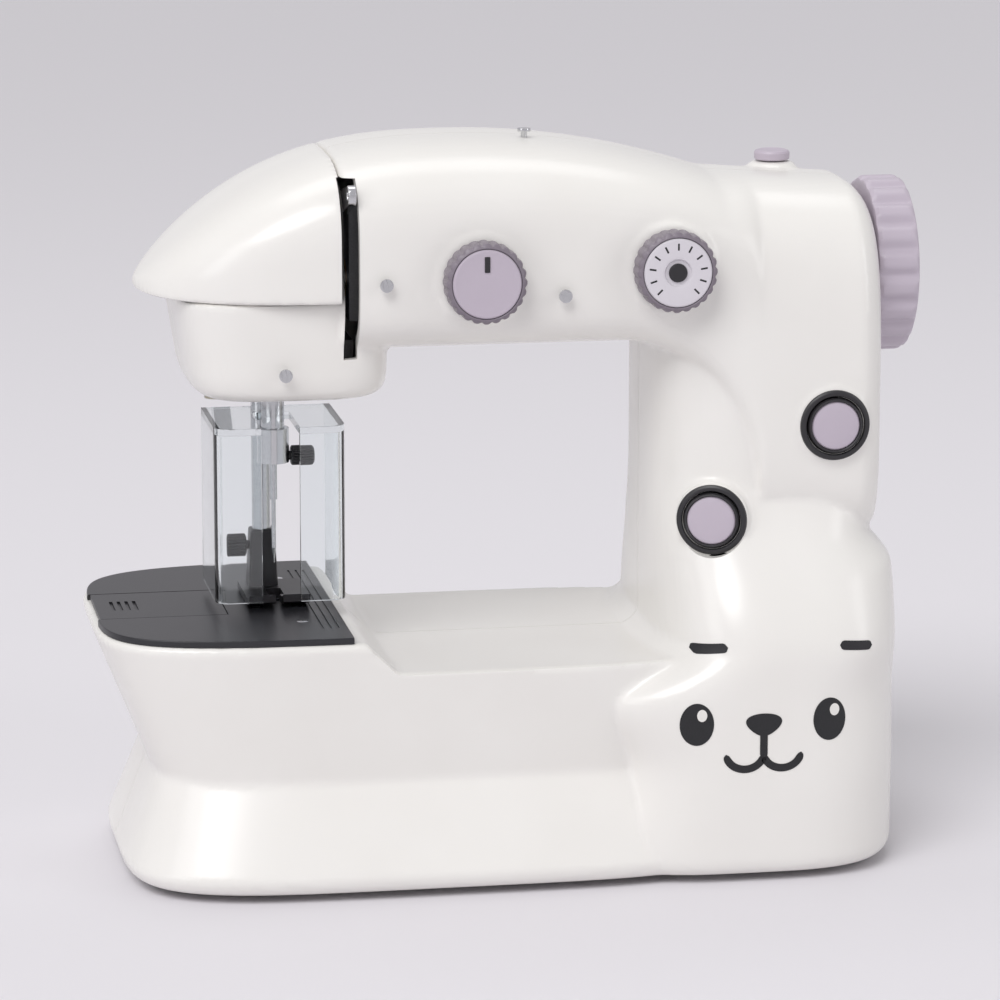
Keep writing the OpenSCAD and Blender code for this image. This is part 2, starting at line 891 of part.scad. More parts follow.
module bobbin() {
    color("lightpink")
        difference() {
            along_x(post_x + 1.5, 0, lower_z, bobbin_r, bobbin_l);
            difference() {
                along_x(post_x + 2.7, 0, lower_z, bobbin_r + eps, bobbin_l - 2.4);
                along_x(post_x, 0, lower_z, 4.5, far);
            }
            along_x(post_x, 0, lower_z, 2.5 + run_gap, far);
        }
}

// Feed dog on its carriage
feed_l = 13;
feed_w = 2.6;
feed_pitch = 1.3;
row_off = 5.5;
fork_in = cam_r + 2*feed_half + 2.2;
fork_t = 2.5;

module feed_row(x) {
    translate([x + feed_w/2, -feed_l/2, 0])
        rotate([90, 0, -90])
            linear_extrude(feed_w)
                polygon(concat(
                    [[0, feed_z]],
                    [for (i = [0 : feed_l/feed_pitch - 1], k = [0, 1])
                        [-feed_pitch*(i + k*0.8), bed_h - 0.2 - (k == 0 ? 0.7 : 0)]],
                    [[-feed_l, bed_h - 0.9], [-feed_l, feed_z]]));
}

module feed_dog() {
    color("silver")
        difference() {
            union() {
                feed_row(needle_x - row_off);
                feed_row(needle_x + row_off);
                block(needle_x - 8, needle_x + 8, -feed_l/2, feed_l/2, feed_z, feed_z + 2);
                block(needle_x - 6, slot_x - 4, -fork_in - fork_t, rail_y + rail_t + 1.5,
                    feed_z, feed_z + 2);
                for (y = [-fork_in - fork_t, fork_in])
                    block(cam_x + 0.5, cam_x + cam_t - 0.5, y, y + fork_t, lower_z - 4, feed_z + 1);
            }
            block(needle_x - 2, needle_x + 2, -4, 4, feed_z - eps, feed_z + 2 + eps);
        }
}

// Plates on the bed
plate_in = 1.2;
lip = 0.8;

module plate_outline() {
    intersection() {
        polygon(bed_ring(plate_in, bed_lean));
        translate([x_left - eps, -far/2])
            square([slot_x - 1.5 - x_left + eps, far]);
    }
}

// Section of the cover's way, wider below so that the cover can't lift out
module cover_way(x0, l, gap) {
    translate([x0, 0, bed_top])
        rotate([90, 0, 90])
            linear_extrude(l)
                polygon([
                    [-cover_half - gap, slide_gap - gap], [cover_half + gap, slide_gap - gap],
                    [cover_half + gap - lip, plate_t + gap], [lip - cover_half - gap, plate_t + gap]
                ]);
}

module needle_plate() {
    color("dimgray")
        difference() {
            translate([0, 0, bed_top])
                linear_extrude(plate_t)
                    plate_outline();
            cover_way(x_left - far, far + cover_x - x_left + slide_gap, slide_gap);
            along_z(needle_x, 0, bed_top - eps, 1.6, plate_t + 2*eps);
            for (x = [needle_x - row_off, needle_x + row_off])
                block(x - feed_w/2 - 0.5, x + feed_w/2 + 0.5, -feed_l/2 - feed_half - 0.6,
                    feed_l/2 + feed_half + 0.6, bed_top - eps, bed_h + eps);
            for (y = [-1, 1])
                along_z(plate_screw_x, y*plate_screw_y, bed_top - eps, 1.5 + press_gap, plate_t + 2*eps);
        }
}

plate_screw_x = needle_x + 4;
plate_screw_y = 25;

module plate_screws() {
    color("silver")
        for (y = [-1, 1])
            along_z(plate_screw_x, y*plate_screw_y, bed_top, 1.5, plate_t);
}

grip_x = cover_x - cover_l + 4;
grip_pitch = 2;
grip_w = 0.9;
grip_half = 5;
grip_deep = 0.5;

module bobbin_cover() {
    color("dimgray")
        difference() {
            cover_way(cover_x - cover_l, cover_l, 0);
            for (i = [0 : 3])
                block(grip_x + grip_pitch*i, grip_x + grip_pitch*i + grip_w, -grip_half, grip_half,
                    bed_h - grip_deep, bed_h + eps);
        }
}

// Needle bar, driven through a slotted yoke
yoke_x = needle_x + needle_bar_d/2 + 0.2;
yoke_t = 3;
yoke_reach = stroke/2 + crank_pin_r + 3.5;
yoke_z = shaft_z + stroke/2;
bar_low = bed_h + 40;
bar_high = yoke_z + yoke_half + 2.5;
clamp_ring_r = needle_bar_d/2 + 1.4;
clamp_r = 4.2;
clamp_h = 9;
clamp_z = bar_low - 3;
needle_r = 0.6;
needle_tip = bed_h + 10;

module needle_bar() {
    color("silver")
        along_z(needle_x, 0, bar_low, needle_bar_d/2, bar_high - bar_low);
}

module needle_yoke() {
    color("dimgray")
        difference() {
            union() {
                block(yoke_x, yoke_x + yoke_t, -yoke_reach, yoke_reach,
                    yoke_z - yoke_half, yoke_z + yoke_half);
                along_z(needle_x, 0, yoke_z - yoke_half, clamp_ring_r, 2*yoke_half);
            }
            along_z(needle_x, 0, yoke_z - far/2, needle_bar_d/2 + press_gap, far);
            block(yoke_x - eps + 1, yoke_x + yoke_t + eps, -yoke_reach + 2, yoke_reach - 2,
                yoke_z - crank_pin_r - 0.2, yoke_z + crank_pin_r + 0.2);
        }
}

module needle_clamp() {
    color("silver")
        difference() {
            along_z(needle_x, 0, clamp_z, clamp_r, clamp_h);
            along_z(needle_x, 0, bar_low, needle_bar_d/2 + press_gap, clamp_h);
            along_z(needle_x, 0, clamp_z - eps, 1 + press_gap, clamp_h);
            along_x(needle_x + 2, 0, clamp_z + clamp_screw_up, 1.2 + press_gap, clamp_r);
        }
}

clamp_screw_up = 1.5;

module clamp_screw() {
    color("black")
        union() {
            along_x(needle_x + 2.2, 0, clamp_z + clamp_screw_up, 1.2, 3);
            along_x(needle_x + clamp_r + 0.4, 0, clamp_z + clamp_screw_up, 2.6, 6);
        }
}

module needle() {
    color("silver")
        union() {
            along_z(needle_x, 0, bar_low - 13, 1, 13 - press_gap);
            along_z(needle_x, 0, needle_tip + 4, needle_r, bar_low - 12 - needle_tip - 4);
            translate([needle_x, 0, needle_tip])
                cylinder(r1 = 0.1, r2 = needle_r, h = 4.01);
        }
}

// Take-up lever
take_t = 2;
take_x = slot_x - take_t/2;
take_l = 44;
take_rest = 15;

module take_up_lever() {
    color("silver")
        translate([take_x, take_y, take_z])
            rotate([90, 0, 90])
                linear_extrude(take_t)
                    rotate(-take_rest)
                        difference() {
                            union() {
                                circle(r = 4.5);
                                polygon([[0, -4], [0, 4], [-take_l, 2.6], [-take_l, -2.6]]);
                                translate([-take_l, 0])
                                    circle(r = 2.6);
                            }
                            circle(r = take_r + run_gap);
                            translate([-take_l, 0])
                                circle(r = 1.1);
                        }
}

// Presser bar, its lifting lever and its spring
lever_swing = 70;
lever_e = foot_lift/(2*sin(lever_swing/2));
lever_r = 6;
lever_t = 4.5;
lever_x = rail_l - loose_gap - lever_t - 0.2;
lever_l = 30;
handle_drop = 7;
finger_z = pivot_z + lever_r - foot_lift/2 + loose_gap;
finger_t = 5;
collar_r = 4.4;
presser_low = bed_h + 8;
presser_high = upper_guide_z + upper_guide_t + 4;

module presser_bar() {
    color("silver")
        along_z(presser_x, presser_y, presser_low, presser_bar_d/2, presser_high - presser_low);
}

module presser_collar() {
    color("dimgray")
        difference() {
            union() {
                along_z(presser_x, presser_y, finger_z, collar_r, finger_t);
                block(lever_x, presser_x, presser_y - 3, presser_y + 2, finger_z, finger_z + finger_t);
                block(lever_x, lever_x + lever_t, presser_y - 3, pivot_y + 8,
                    finger_z, finger_z + finger_t);
            }
            along_z(presser_x, presser_y, finger_z - eps, presser_bar_d/2 + press_gap, finger_t + 2*eps);
        }
}

module presser_lever() {
    color("silver")
        translate([lever_x, pivot_y, pivot_z])
            rotate([90, 0, 90])
                linear_extrude(lever_t)
                    rotate(-lever_swing/2)
                        difference() {
                            union() {
                                translate([lever_e, 0])
                                    circle(r = lever_r);
                                rotate(-handle_drop) {
                                    translate([lever_e, -2.2])
                                        square([lever_l - lever_e, 4.4]);
                                    translate([lever_l, 0])
                                        circle(r = 3.6);
                                }
                            }
                            circle(r = pivot_r + run_gap);
                        }
}

// Presser spring: a wire helix closed by a round end at the collar and at the guide
coil_r = presser_bar_d/2 + 1.3;
wire_r = 0.45;
coils = 4;
coil_steps = 12;
wire_n = 6;
spring_low = finger_z + finger_t + wire_r + 0.1;
spring_high = upper_guide_z - wire_r - 0.1;
spring_pitch = (spring_high - spring_low)/coils;
squeezed_pitch = spring_pitch - foot_lift/coils;
echo(spring_gap_at_rest = spring_pitch - 2*wire_r, spring_gap_lifted = squeezed_pitch - 2*wire_r);

function coil_ring(k) =
    let (a = 360*k/coil_steps, z = spring_low + spring_pitch*k/coil_steps)
    [for (i = [0 : wire_n - 1])
        let (b = -360*i/wire_n, r = coil_r + wire_r*cos(b))
        [presser_x + r*cos(a), presser_y + r*sin(a), z + wire_r*sin(b)]];

module presser_spring() {
    color("gray")
        polyhedron(
            points = [for (k = [0 : coils*coil_steps], p = coil_ring(k)) p],
            faces = loft_faces(coils*coil_steps + 1, wire_n));
}

// Presser foot and the clear finger guard on the same bar
sole_z = bed_h + 0.4;
sole_t = 2;
foot_half = 8;
toe_reach = 11;
ankle_h = 17;
foot_screw_z = bed_h + 13;

module presser_foot() {
    color("black")
        difference() {
            union() {
                block(needle_x - foot_half, needle_x + foot_half, -toe_reach, presser_y + 4,
                    sole_z, sole_z + sole_t);
                block(presser_x - 4, presser_x + 4, presser_y - 4, presser_y + 4, sole_z, sole_z + ankle_h);
            }
            along_z(presser_x, presser_y, presser_low - press_gap, presser_bar_d/2 + press_gap, far);
            block(needle_x - 2, needle_x + 2, -4, 3, sole_z - eps, sole_z + sole_t + eps);
            block(needle_x - 1, needle_x + 1, -toe_reach - 1, -3, sole_z - eps, sole_z + sole_t + eps);
            along_x(presser_x - 5, presser_y, foot_screw_z, 1.2 + press_gap, 5 - presser_bar_d/2);
        }
}

module foot_screw() {
    color("black")
        union() {
            along_x(presser_x - 5, presser_y, foot_screw_z, 1.2, 4.6 - presser_bar_d/2);
            along_x(presser_x - 10.2, presser_y, foot_screw_z, 3, 6);
        }
}

guard_t = 1.5;
guard_front = -16;
guard_back = presser_y + 5;
guard_low = bed_h + 3;
guard_high = guard_low + guard_h;
guard_gap = 5;
tie_t = 2;

module needle_guard() {
    guard_l = needle_x - guard_w/2;
    guard_r = needle_x + guard_w/2;
    color("lightcyan", 0.4)
        difference() {
            block(guard_l, guard_r, guard_front, guard_back, guard_low, guard_high);
            block(guard_l + guard_t, guard_r - guard_t, guard_front + guard_t, far,
                guard_low - eps, guard_high - tie_t);
            block(needle_x - guard_gap, needle_x + guard_gap, guard_front - eps, presser_y - 4.5,
                guard_low - eps, guard_high + eps);
            along_z(presser_x, presser_y, guard_low, presser_bar_d/2 + press_gap, guard_h + eps);
        }
}

// Dials and buttons
dial_grips = 24;
mark_w = 1.4;

module dial_knob(at) {
    top = dial_y - loose_gap - dial_t;
    difference() {
        union() {
            along_y(at[0], top, at[1], dial_d/2, dial_t);
            along_y(at[0], dial_y - loose_gap - 1, at[1], stem_r, stem_l + loose_gap);
        }
        for (i = [0 : dial_grips - 1])
            translate([at[0], 0, at[1]])
                rotate([0, 360*i/dial_grips, 0])
                    along_y(dial_d/2 + 0.4, top - eps, 0, 0.9, dial_t - 1.5 + eps);
        children();
    }
}

module tension_dial() {
    color("thistle")
        dial_knob(tension_at)
            block(tension_at[0] - mark_w/2, tension_at[0] + mark_w/2, dial_y - far, dial_y - dial_t + 0.3,
                tension_at[1] + 4, tension_at[1] + dial_d/2 - 1.5);
}

module speed_dial() {
    color("thistle")
        dial_knob(speed_at)
            along_y(speed_at[0], dial_y - far, speed_at[1], dial_d/2 - 5, far - dial_t + 1);
}

module button_cap() {
    along_y(0, -cap_proud, 0, button_d/2, cap_l);
}

module power_button() {
    color("thistle")
        at_power()
            button_cap();
}

module lamp_button() {
    color("thistle")
        at_lamp()
            button_cap();
}

lens_x = needle_x - 16;
lens_y = -11;
lens_r = 3;

module lamp_lens() {
    color("lightyellow")
        along_z(lens_x, lens_y, head_under - 1.4, lens_r, wall + 4);
}

// The pin's foot stays in the sleeve when it is pulled up
spool_hold = 12;

module spool_pin() {
    color("thistle")
        union() {
            along_z(spool_x, spool_y, sleeve_top - spool_lift - spool_hold, spool_d/2,
                spool_lift + spool_hold + eps);
            along_z(spool_x, spool_y, sleeve_top + loose_gap, spool_d/2 + 2.2, 2.6);
        }
}

// Thread guides: headed wire pins on the front and on top of the arm
guide_r = 0.8;
guide_head_r = 1.7;
guide_proud = 2.4;
arm_guides = [
    [0.75*slot_x + 0.25*tension_at[0], arm_under + 19], [0.57*tension_at[0] + 0.43*speed_at[0], arm_under + 15]
];
front_guides = concat(
    [[needle_x - 1, head_under + 8, -head_half]],
    [for (g = arm_guides) [g[0], g[1], arm_front(g[0], g[1])]]);
top_guide_x = hump_x + 17;
top_guide_y = -6;
guide_sink = 4.5;

module guide_holes() {
    for (g = front_guides)
        along_y(g[0], g[2] - far, g[1], guide_r + press_gap, far + guide_sink);
    along_z(top_guide_x, top_guide_y, overall_h - 2*guide_sink, guide_r + press_gap, far);
}

module thread_guides() {
    color("silver") {
        for (g = front_guides) {
            along_y(g[0], g[2] - guide_proud, g[1], guide_r, guide_proud + guide_sink);
            along_y(g[0], g[2] - guide_proud, g[1], guide_head_r, 0.8);
        }
        along_z(top_guide_x, top_guide_y, overall_h - guide_sink, guide_r, guide_sink + 1.6);
        along_z(top_guide_x, top_guide_y, overall_h + 0.8, guide_head_r, 0.8);
    }
}

// Base: cover, battery box, door, contacts and feet
box_r = block_l - 4;
box_l = box_r - cell_l - 2;
box_half = cells*(cell_d + 0.4)/2;
box_h = cell_d + 0.6;
box_wall = 1.8;
foot_r = 6;
foot_sink = 1.2;
foot_spots = [
    [x_left + 22, -base_half + 24], [x_left + 22, base_half - 24],
    [base_r - 22, -base_half + 21], [base_r - 22, base_half - 21]
];

module cover_outline() {
    inset = edge_in + wall + loose_gap;
    polygon(bed_ring(inset, 0, foot_back, cavity_n));
    polygon(col_ring(foot_h, inset, cavity_n));
}

module bottom_cover() {
    color("whitesmoke")
        difference() {
            union() {
                translate([0, 0, foot_h])
                    linear_extrude(wall)
                        cover_outline();
                block(box_l - box_wall, box_r + box_wall, -box_half - box_wall, box_half + box_wall,
                    foot_h, floor_z + box_h + box_wall);
            }
            block(box_l, box_r, -box_half, box_half, foot_h - eps, floor_z + box_h);
            for (p = foot_spots)
                along_z(p[0], p[1], foot_h - eps, foot_r + press_gap, foot_sink + eps);
            for (p = posts)
                if (p[1] - post_r < floor_z + eps)
                    along_y(p[0], -far/2, p[1], post_r + loose_gap, far);
        }
}

module battery_door() {
    color("whitesmoke")
        difference() {
            block(box_l + slide_gap, box_r - slide_gap, slide_gap - box_half, box_half - slide_gap,
                foot_h, floor_z);
            for (i = [-2 : 2])
                block(box_l + 5, box_l + 12, i*4 - 0.6, i*4 + 0.6, foot_h - eps, foot_h + 0.6);
        }
}

module battery_contacts() {
    color("silver")
        for (i = [0 : cells - 1], x = [box_l, box_r - 0.5])
            block(x, x + 0.5, -box_half + (i + 0.2)*(cell_d + 0.4), -box_half + (i + 0.8)*(cell_d + 0.4),
                floor_z + 3, floor_z + box_h - 2);
}

module rubber_feet() {
    color("dimgray")
        for (p = foot_spots)
            along_z(p[0], p[1], 0, foot_r, foot_h + foot_sink);
}

module shell_screws() {
    color("silver")
        for (p = posts) {
            along_y(p[0], well_y - screw_l, p[1], shank_r, screw_l);
            difference() {
                along_y(p[0], well_y, p[1], screw_r, 2);
                block(p[0] - 2, p[0] + 2, well_y + 1.2, far, p[1] - 0.3, p[1] + 0.3);
                block(p[0] - 0.3, p[0] + 0.3, well_y + 1.2, far, p[1] - 2, p[1] + 2);
            }
        }
}

// Sockets in the right-hand wall
socket_l = 14;

module socket(y, bore_r, depth) {
    difference() {
        union() {
            along_x(base_r - socket_l, y, jack_z, jack_r, socket_l + 0.4);
            block(base_r - socket_l - 5, base_r - 5, y - 5, y + 5, jack_z - 5.5, jack_z + 5.5);
        }
        along_x(base_r + 0.4 - depth, y, jack_z, bore_r, depth + eps);
    }
}

module dc_jack() {
    color("black")
        union() {
            socket(dc_y, 2.8, 10);
            along_x(base_r - 10, dc_y, jack_z, 1, 9);
        }
}

module pedal_jack() {
    color("black")
        socket(pedal_y, 1.8, 15);
}

front_shell();
rear_shell();
head_cover();
bottom_cover();
battery_door();
battery_contacts();
rubber_feet();
shell_screws();
chassis();
shaft_bushes();
bar_bushes();
needle_plate();
plate_screws();
bobbin_cover();
bobbin_case();
bobbin();
rotary_hook();
lower_shaft();
lower_pulley();
drive_gear();
drive_belt();
upper_pulley();
main_shaft();
crank_disc();
handwheel();
motor();
motor_pinion();
needle_bar();
needle_yoke();
needle_clamp();
clamp_screw();
needle();
take_up_lever();
presser_bar();
presser_collar();
presser_spring();
presser_lever();
presser_foot();
foot_screw();
needle_guard();
feed_dog();
tension_dial();
speed_dial();
power_button();
lamp_button();
lamp_lens();
spool_pin();
thread_guides();
dc_jack();
pedal_jack();
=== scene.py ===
# %% [markdown]
# # A toy sewing machine
# The machine is a battery lockstitch toy: a white housing of two glossy shells, a clear finger guard round the needle,
# two dials and two push buttons on its front, and a lilac handwheel on its right end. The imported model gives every
# piece's place and motion. This lesson gives the pieces their skins, edges and finishes.

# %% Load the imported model
import math

import bpy
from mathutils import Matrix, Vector


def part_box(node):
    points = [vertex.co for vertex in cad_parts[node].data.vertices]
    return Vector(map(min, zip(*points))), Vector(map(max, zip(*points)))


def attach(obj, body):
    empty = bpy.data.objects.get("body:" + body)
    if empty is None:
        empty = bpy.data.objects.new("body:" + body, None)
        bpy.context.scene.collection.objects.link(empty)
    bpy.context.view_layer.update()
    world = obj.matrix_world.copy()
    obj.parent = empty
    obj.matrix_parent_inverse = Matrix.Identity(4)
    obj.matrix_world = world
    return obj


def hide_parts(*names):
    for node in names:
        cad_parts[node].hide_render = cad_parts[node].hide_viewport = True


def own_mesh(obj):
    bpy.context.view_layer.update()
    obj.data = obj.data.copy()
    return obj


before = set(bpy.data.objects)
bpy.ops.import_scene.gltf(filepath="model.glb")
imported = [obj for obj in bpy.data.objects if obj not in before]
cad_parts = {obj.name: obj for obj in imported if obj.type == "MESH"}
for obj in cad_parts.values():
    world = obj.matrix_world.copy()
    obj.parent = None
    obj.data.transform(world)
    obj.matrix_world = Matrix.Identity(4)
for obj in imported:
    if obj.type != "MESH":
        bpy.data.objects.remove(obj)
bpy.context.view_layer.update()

MM = 0.001
bpy.ops.object.select_all(action="DESELECT")

# %% [markdown]
# ## Camera, floor and light
# The picture looks at the machine from the front, a little from its left and a little from above. A long lens keeps the
# uprights parallel. The floor is one large pale sheet. A broad sun lights floor and machine alike, so that the floor
# stays even, and soft boxes add the long reflections that show how the white plastic curves.

# %% Camera
VIEW_AZIMUTH = -10
VIEW_ELEVATION = 12
VIEW_DISTANCE = 1.3
AIM = Vector((0.001, 0, 0.0925))

turn, rise = math.radians(VIEW_AZIMUTH), math.radians(VIEW_ELEVATION)
back = Vector((math.sin(turn)*math.cos(rise), -math.cos(turn)*math.cos(rise), math.sin(rise)))
camera_data = bpy.data.cameras.new("camera")
camera_data.lens = 178
camera = bpy.data.objects.new("camera", camera_data)
camera.location = AIM + back*VIEW_DISTANCE
camera.rotation_euler = back.to_track_quat("Z", "Y").to_euler()
bpy.context.scene.collection.objects.link(camera)
bpy.context.scene.camera = camera
bpy.context.scene.view_settings.view_transform = "Standard"
print("camera at", [round(c, 3) for c in camera.location])


# %% Colours and nodes
def linear(code):
    """Turns an sRGB hex colour into the linear values that Blender's sockets take."""
    parts = [int(code[i:i + 2], 16)/255 for i in (1, 3, 5)]
    return [c/12.92 if c <= 0.04045 else ((c + 0.055)/1.055)**2.4 for c in parts] + [1]


def add(tree, kind, settings, links=None):
    """Adds one node, sets its plain values and joins its inputs to the outputs of other nodes."""
    node = tree.nodes.new("ShaderNode" + kind)
    for key, value in settings.items():
        if isinstance(key, int) or key in node.inputs:
            node.inputs[key].default_value = value
        else:
            setattr(node, key, value)
    for key, output in (links or {}).items():
        tree.links.new(output, node.inputs[key])
    return node


def blank(name):
    """An empty material and its node tree."""
    material = bpy.data.materials.new(name)
    material.use_nodes = True
    material.node_tree.nodes.clear()
    return material, material.node_tree


# %% Floor and lamps
BACKDROP, FIBRE_SCALE = "#CFCDD1", 900

bpy.ops.mesh.primitive_circle_add(vertices=96, radius=40, fill_type="NGON")
floor = bpy.context.object
floor.name = "floor"
paper, tree = blank("matt_paper_floor")
place = add(tree, "TexCoord", {})
fibre = add(tree, "TexNoise", {"Scale": FIBRE_SCALE, "Detail": 3}, {"Vector": place.outputs["Object"]})
bump = add(tree, "Bump", {"Strength": 0.04, "Distance": 0.0002}, {"Height": fibre.outputs["Fac"]})
sheet = add(tree, "BsdfPrincipled", {"Base Color": linear("#E6E3E8"), "Roughness": 0.75}, {"Normal": bump.outputs[0]})
add(tree, "OutputMaterial", {}, {"Surface": sheet.outputs[0]})
floor.data.materials.append(paper)

world = bpy.data.worlds.new("studio")
bpy.context.scene.world = world
world.use_nodes = True
tree = world.node_tree
tree.nodes.clear()
ray = add(tree, "LightPath", {})
through = add(tree, "Math", {"operation": "MAXIMUM"},
              {0: ray.outputs["Is Glossy Ray"], 1: ray.outputs["Is Transmission Ray"]})
seen = add(tree, "Math", {"operation": "MAXIMUM"}, {0: ray.outputs["Is Camera Ray"], 1: through.outputs[0]})
room = add(tree, "Background", {"Color": linear("#FFFFFF"), "Strength": 0.4})
wall = add(tree, "Background", {"Color": linear(BACKDROP), "Strength": 1})
both = add(tree, "MixShader", {}, {0: seen.outputs[0], 1: room.outputs[0], 2: wall.outputs[0]})
add(tree, "OutputWorld", {}, {"Surface": both.outputs[0]})


def lamp(name, kind, place, power, size):
    """A lamp that looks at the middle of the machine."""
    data = bpy.data.lights.new(name, kind)
    data.energy = power
    if kind == "SUN":
        data.angle = math.radians(size)
    else:
        data.shape = "RECTANGLE"
        data.size, data.size_y = size
    light = bpy.data.objects.new(name, data)
    light.location = place
    light.rotation_euler = (Vector(place) - AIM).to_track_quat("Z", "Y").to_euler()
    bpy.context.scene.collection.objects.link(light)
    return light


lamp("sun", "SUN", (-0.55, -0.85, 1.25), 1.35, 30)
lamp("left_box", "AREA", (-1.0, -0.6, 0.7), 2.4, (0.5, 0.9))
lamp("right_box", "AREA", (1.1, -0.7, 0.55), 2, (0.35, 0.9))
lamp("top_box", "AREA", (0, 0.35, 1.15), 2.5, (0.9, 0.5))
print("stage is set")

# %% [markdown]
# ## Finishes
# Each finish starts from what the real surface is and how it was made. Patterns read Object coordinates, which are in
# metres, so a pattern's scale is one over its size: a grain of 0.5 mm is a scale of 2000.


# %% Finish: glossy white ABS
def per(size_mm):
    """The texture scale whose features are about this many millimetres across."""
    return 1/(size_mm*MM)


def moulded(name, pale, deep, shine, vary, grain_mm, grain):
    """A moulded plastic: a slow drift of colour and gloss, and the fine grain that the mould leaves."""
    material, tree = blank(name)
    place = add(tree, "TexCoord", {}).outputs["Object"]
    drift = add(tree, "TexNoise", {"Scale": per(35), "Detail": 2}, {"Vector": place}).outputs["Fac"]
    skin = add(tree, "TexNoise", {"Scale": per(grain_mm), "Detail": 3}, {"Vector": place}).outputs["Fac"]
    tint = add(tree, "Mix", {"data_type": "RGBA", 6: linear(pale), 7: linear(deep)}, {0: drift}).outputs[2]
    rough = add(tree, "MapRange", {"To Min": shine - vary, "To Max": shine + vary}, {"Value": drift}).outputs[0]
    relief = add(tree, "Bump", {"Strength": grain, "Distance": 0.00004}, {"Height": skin}).outputs[0]
    surface = add(tree, "BsdfPrincipled", {"IOR": 1.52},
                  {"Base Color": tint, "Roughness": rough, "Normal": relief})
    add(tree, "OutputMaterial", {}, {"Surface": surface.outputs[0]})
    return material


# Polished moulds give ABS a high gloss with a faint waviness, and the white is a little warm.
white_abs = moulded("glossy_white_abs", "#F3F1EE", "#EBE8E4", 0.24, 0.04, 2.2, 0.05)
# The bottom is moulded in an etched tool, so it is the same white with a dull, even grain.
dull_white_abs = moulded("etched_white_abs", "#EFEDE9", "#E6E3DF", 0.5, 0.05, 0.5, 0.25)
# Spark-eroded moulds leave lilac caps with a satin grain.
lilac_abs = moulded("satin_lilac_abs", "#C6BCC8", "#B9AEBC", 0.4, 0.06, 0.45, 0.3)
# The speed dial is printed in a paler tint, so that its dark marks stand out.
pale_abs = moulded("satin_pale_lilac_abs", "#DEDAE0", "#D3CED6", 0.4, 0.06, 0.45, 0.3)
# The skirts of the dials are the same plastic with more pigment.
mauve_abs = moulded("satin_mauve_abs", "#857C86", "#766D78", 0.4, 0.06, 0.45, 0.3)
charcoal_abs = moulded("satin_charcoal_abs", "#2A282C", "#1F1E21", 0.38, 0.06, 0.45, 0.25)
pink_bobbin = moulded("glossy_pink_styrene", "#E2BCC9", "#D5A7B8", 0.22, 0.04, 1.5, 0.05)
ivory_nylon = moulded("moulded_nylon", "#E6E1D2", "#D8D2C0", 0.45, 0.05, 0.6, 0.2)
soft_rubber = moulded("moulded_black_rubber", "#2B2B2C", "#1E1E1F", 0.75, 0.06, 0.4, 0.5)
print("plastics ready")


# %% Finish: metals and paint
def metal(name, pale, deep, shine, vary, stretch):
    """A worked metal: fine tool lines, finer across than along, that break up its gloss."""
    material, tree = blank(name)
    place = add(tree, "TexCoord", {}).outputs["Object"]
    lines = add(tree, "Mapping", {"Scale": stretch}, {"Vector": place}).outputs[0]
    tool = add(tree, "TexNoise", {"Scale": per(0.5), "Detail": 4}, {"Vector": lines}).outputs["Fac"]
    tint = add(tree, "Mix", {"data_type": "RGBA", 6: linear(pale), 7: linear(deep)}, {0: tool}).outputs[2]
    rough = add(tree, "MapRange", {"To Min": shine - vary, "To Max": shine + vary}, {"Value": tool}).outputs[0]
    relief = add(tree, "Bump", {"Strength": 0.15, "Distance": 0.00002}, {"Height": tool}).outputs[0]
    surface = add(tree, "BsdfPrincipled", {"Metallic": 1},
                  {"Base Color": tint, "Roughness": rough, "Normal": relief})
    add(tree, "OutputMaterial", {}, {"Surface": surface.outputs[0]})
    return material


# Ground bars show rings round them, so the lines are short up the bar and long around it.
ground_steel = metal("ground_steel", "#D3D4D6", "#B4B5B8", 0.2, 0.06, (0.15, 0.15, 1))
pressed_steel = metal("polished_pressed_steel", "#D6D6D8", "#BFC0C3", 0.17, 0.05, (1, 0.2, 1))
cast_alloy = metal("die_cast_alloy", "#B9BABD", "#97989C", 0.42, 0.1, (1, 1, 1))
bronze = metal("sintered_bronze", "#C9A468", "#A8824A", 0.38, 0.08, (1, 1, 1))

satin_paint, tree = blank("satin_dark_paint_on_steel")
# Baked paint over steel: near black, with the small orange-peel waves of a sprayed coat.
place = add(tree, "TexCoord", {}).outputs["Object"]
peel = add(tree, "TexNoise", {"Scale": per(0.9), "Detail": 2}, {"Vector": place}).outputs["Fac"]
fleck = add(tree, "TexNoise", {"Scale": per(0.25), "Detail": 2}, {"Vector": place}).outputs["Fac"]
tint = add(tree, "Mix", {"data_type": "RGBA", 6: linear("#1C1C1F"), 7: linear("#2E2E33")}, {0: fleck}).outputs[2]
relief = add(tree, "Bump", {"Strength": 0.25, "Distance": 0.00005}, {"Height": peel}).outputs[0]
rough = add(tree, "MapRange", {"To Min": 0.3, "To Max": 0.42}, {"Value": fleck}).outputs[0]
surface = add(tree, "BsdfPrincipled", {"IOR": 1.5}, {"Base Color": tint, "Roughness": rough, "Normal": relief})
add(tree, "OutputMaterial", {}, {"Surface": surface.outputs[0]})

ink, tree = blank("printed_black_ink")
# Pad-printed ink lies flat and dull, with tiny pinholes where the pad lifted.
place = add(tree, "TexCoord", {}).outputs["Object"]
pins = add(tree, "TexNoise", {"Scale": per(0.35), "Detail": 2}, {"Vector": place}).outputs["Fac"]
tint = add(tree, "Mix", {"data_type": "RGBA", 6: linear("#121214"), 7: linear("#26262A")}, {0: pins}).outputs[2]
rough = add(tree, "MapRange", {"To Min": 0.45, "To Max": 0.6}, {"Value": pins}).outputs[0]
surface = add(tree, "BsdfPrincipled", {"IOR": 1.48}, {"Base Color": tint, "Roughness": rough})
add(tree, "OutputMaterial", {}, {"Surface": surface.outputs[0]})
print("metals, paint and ink ready")


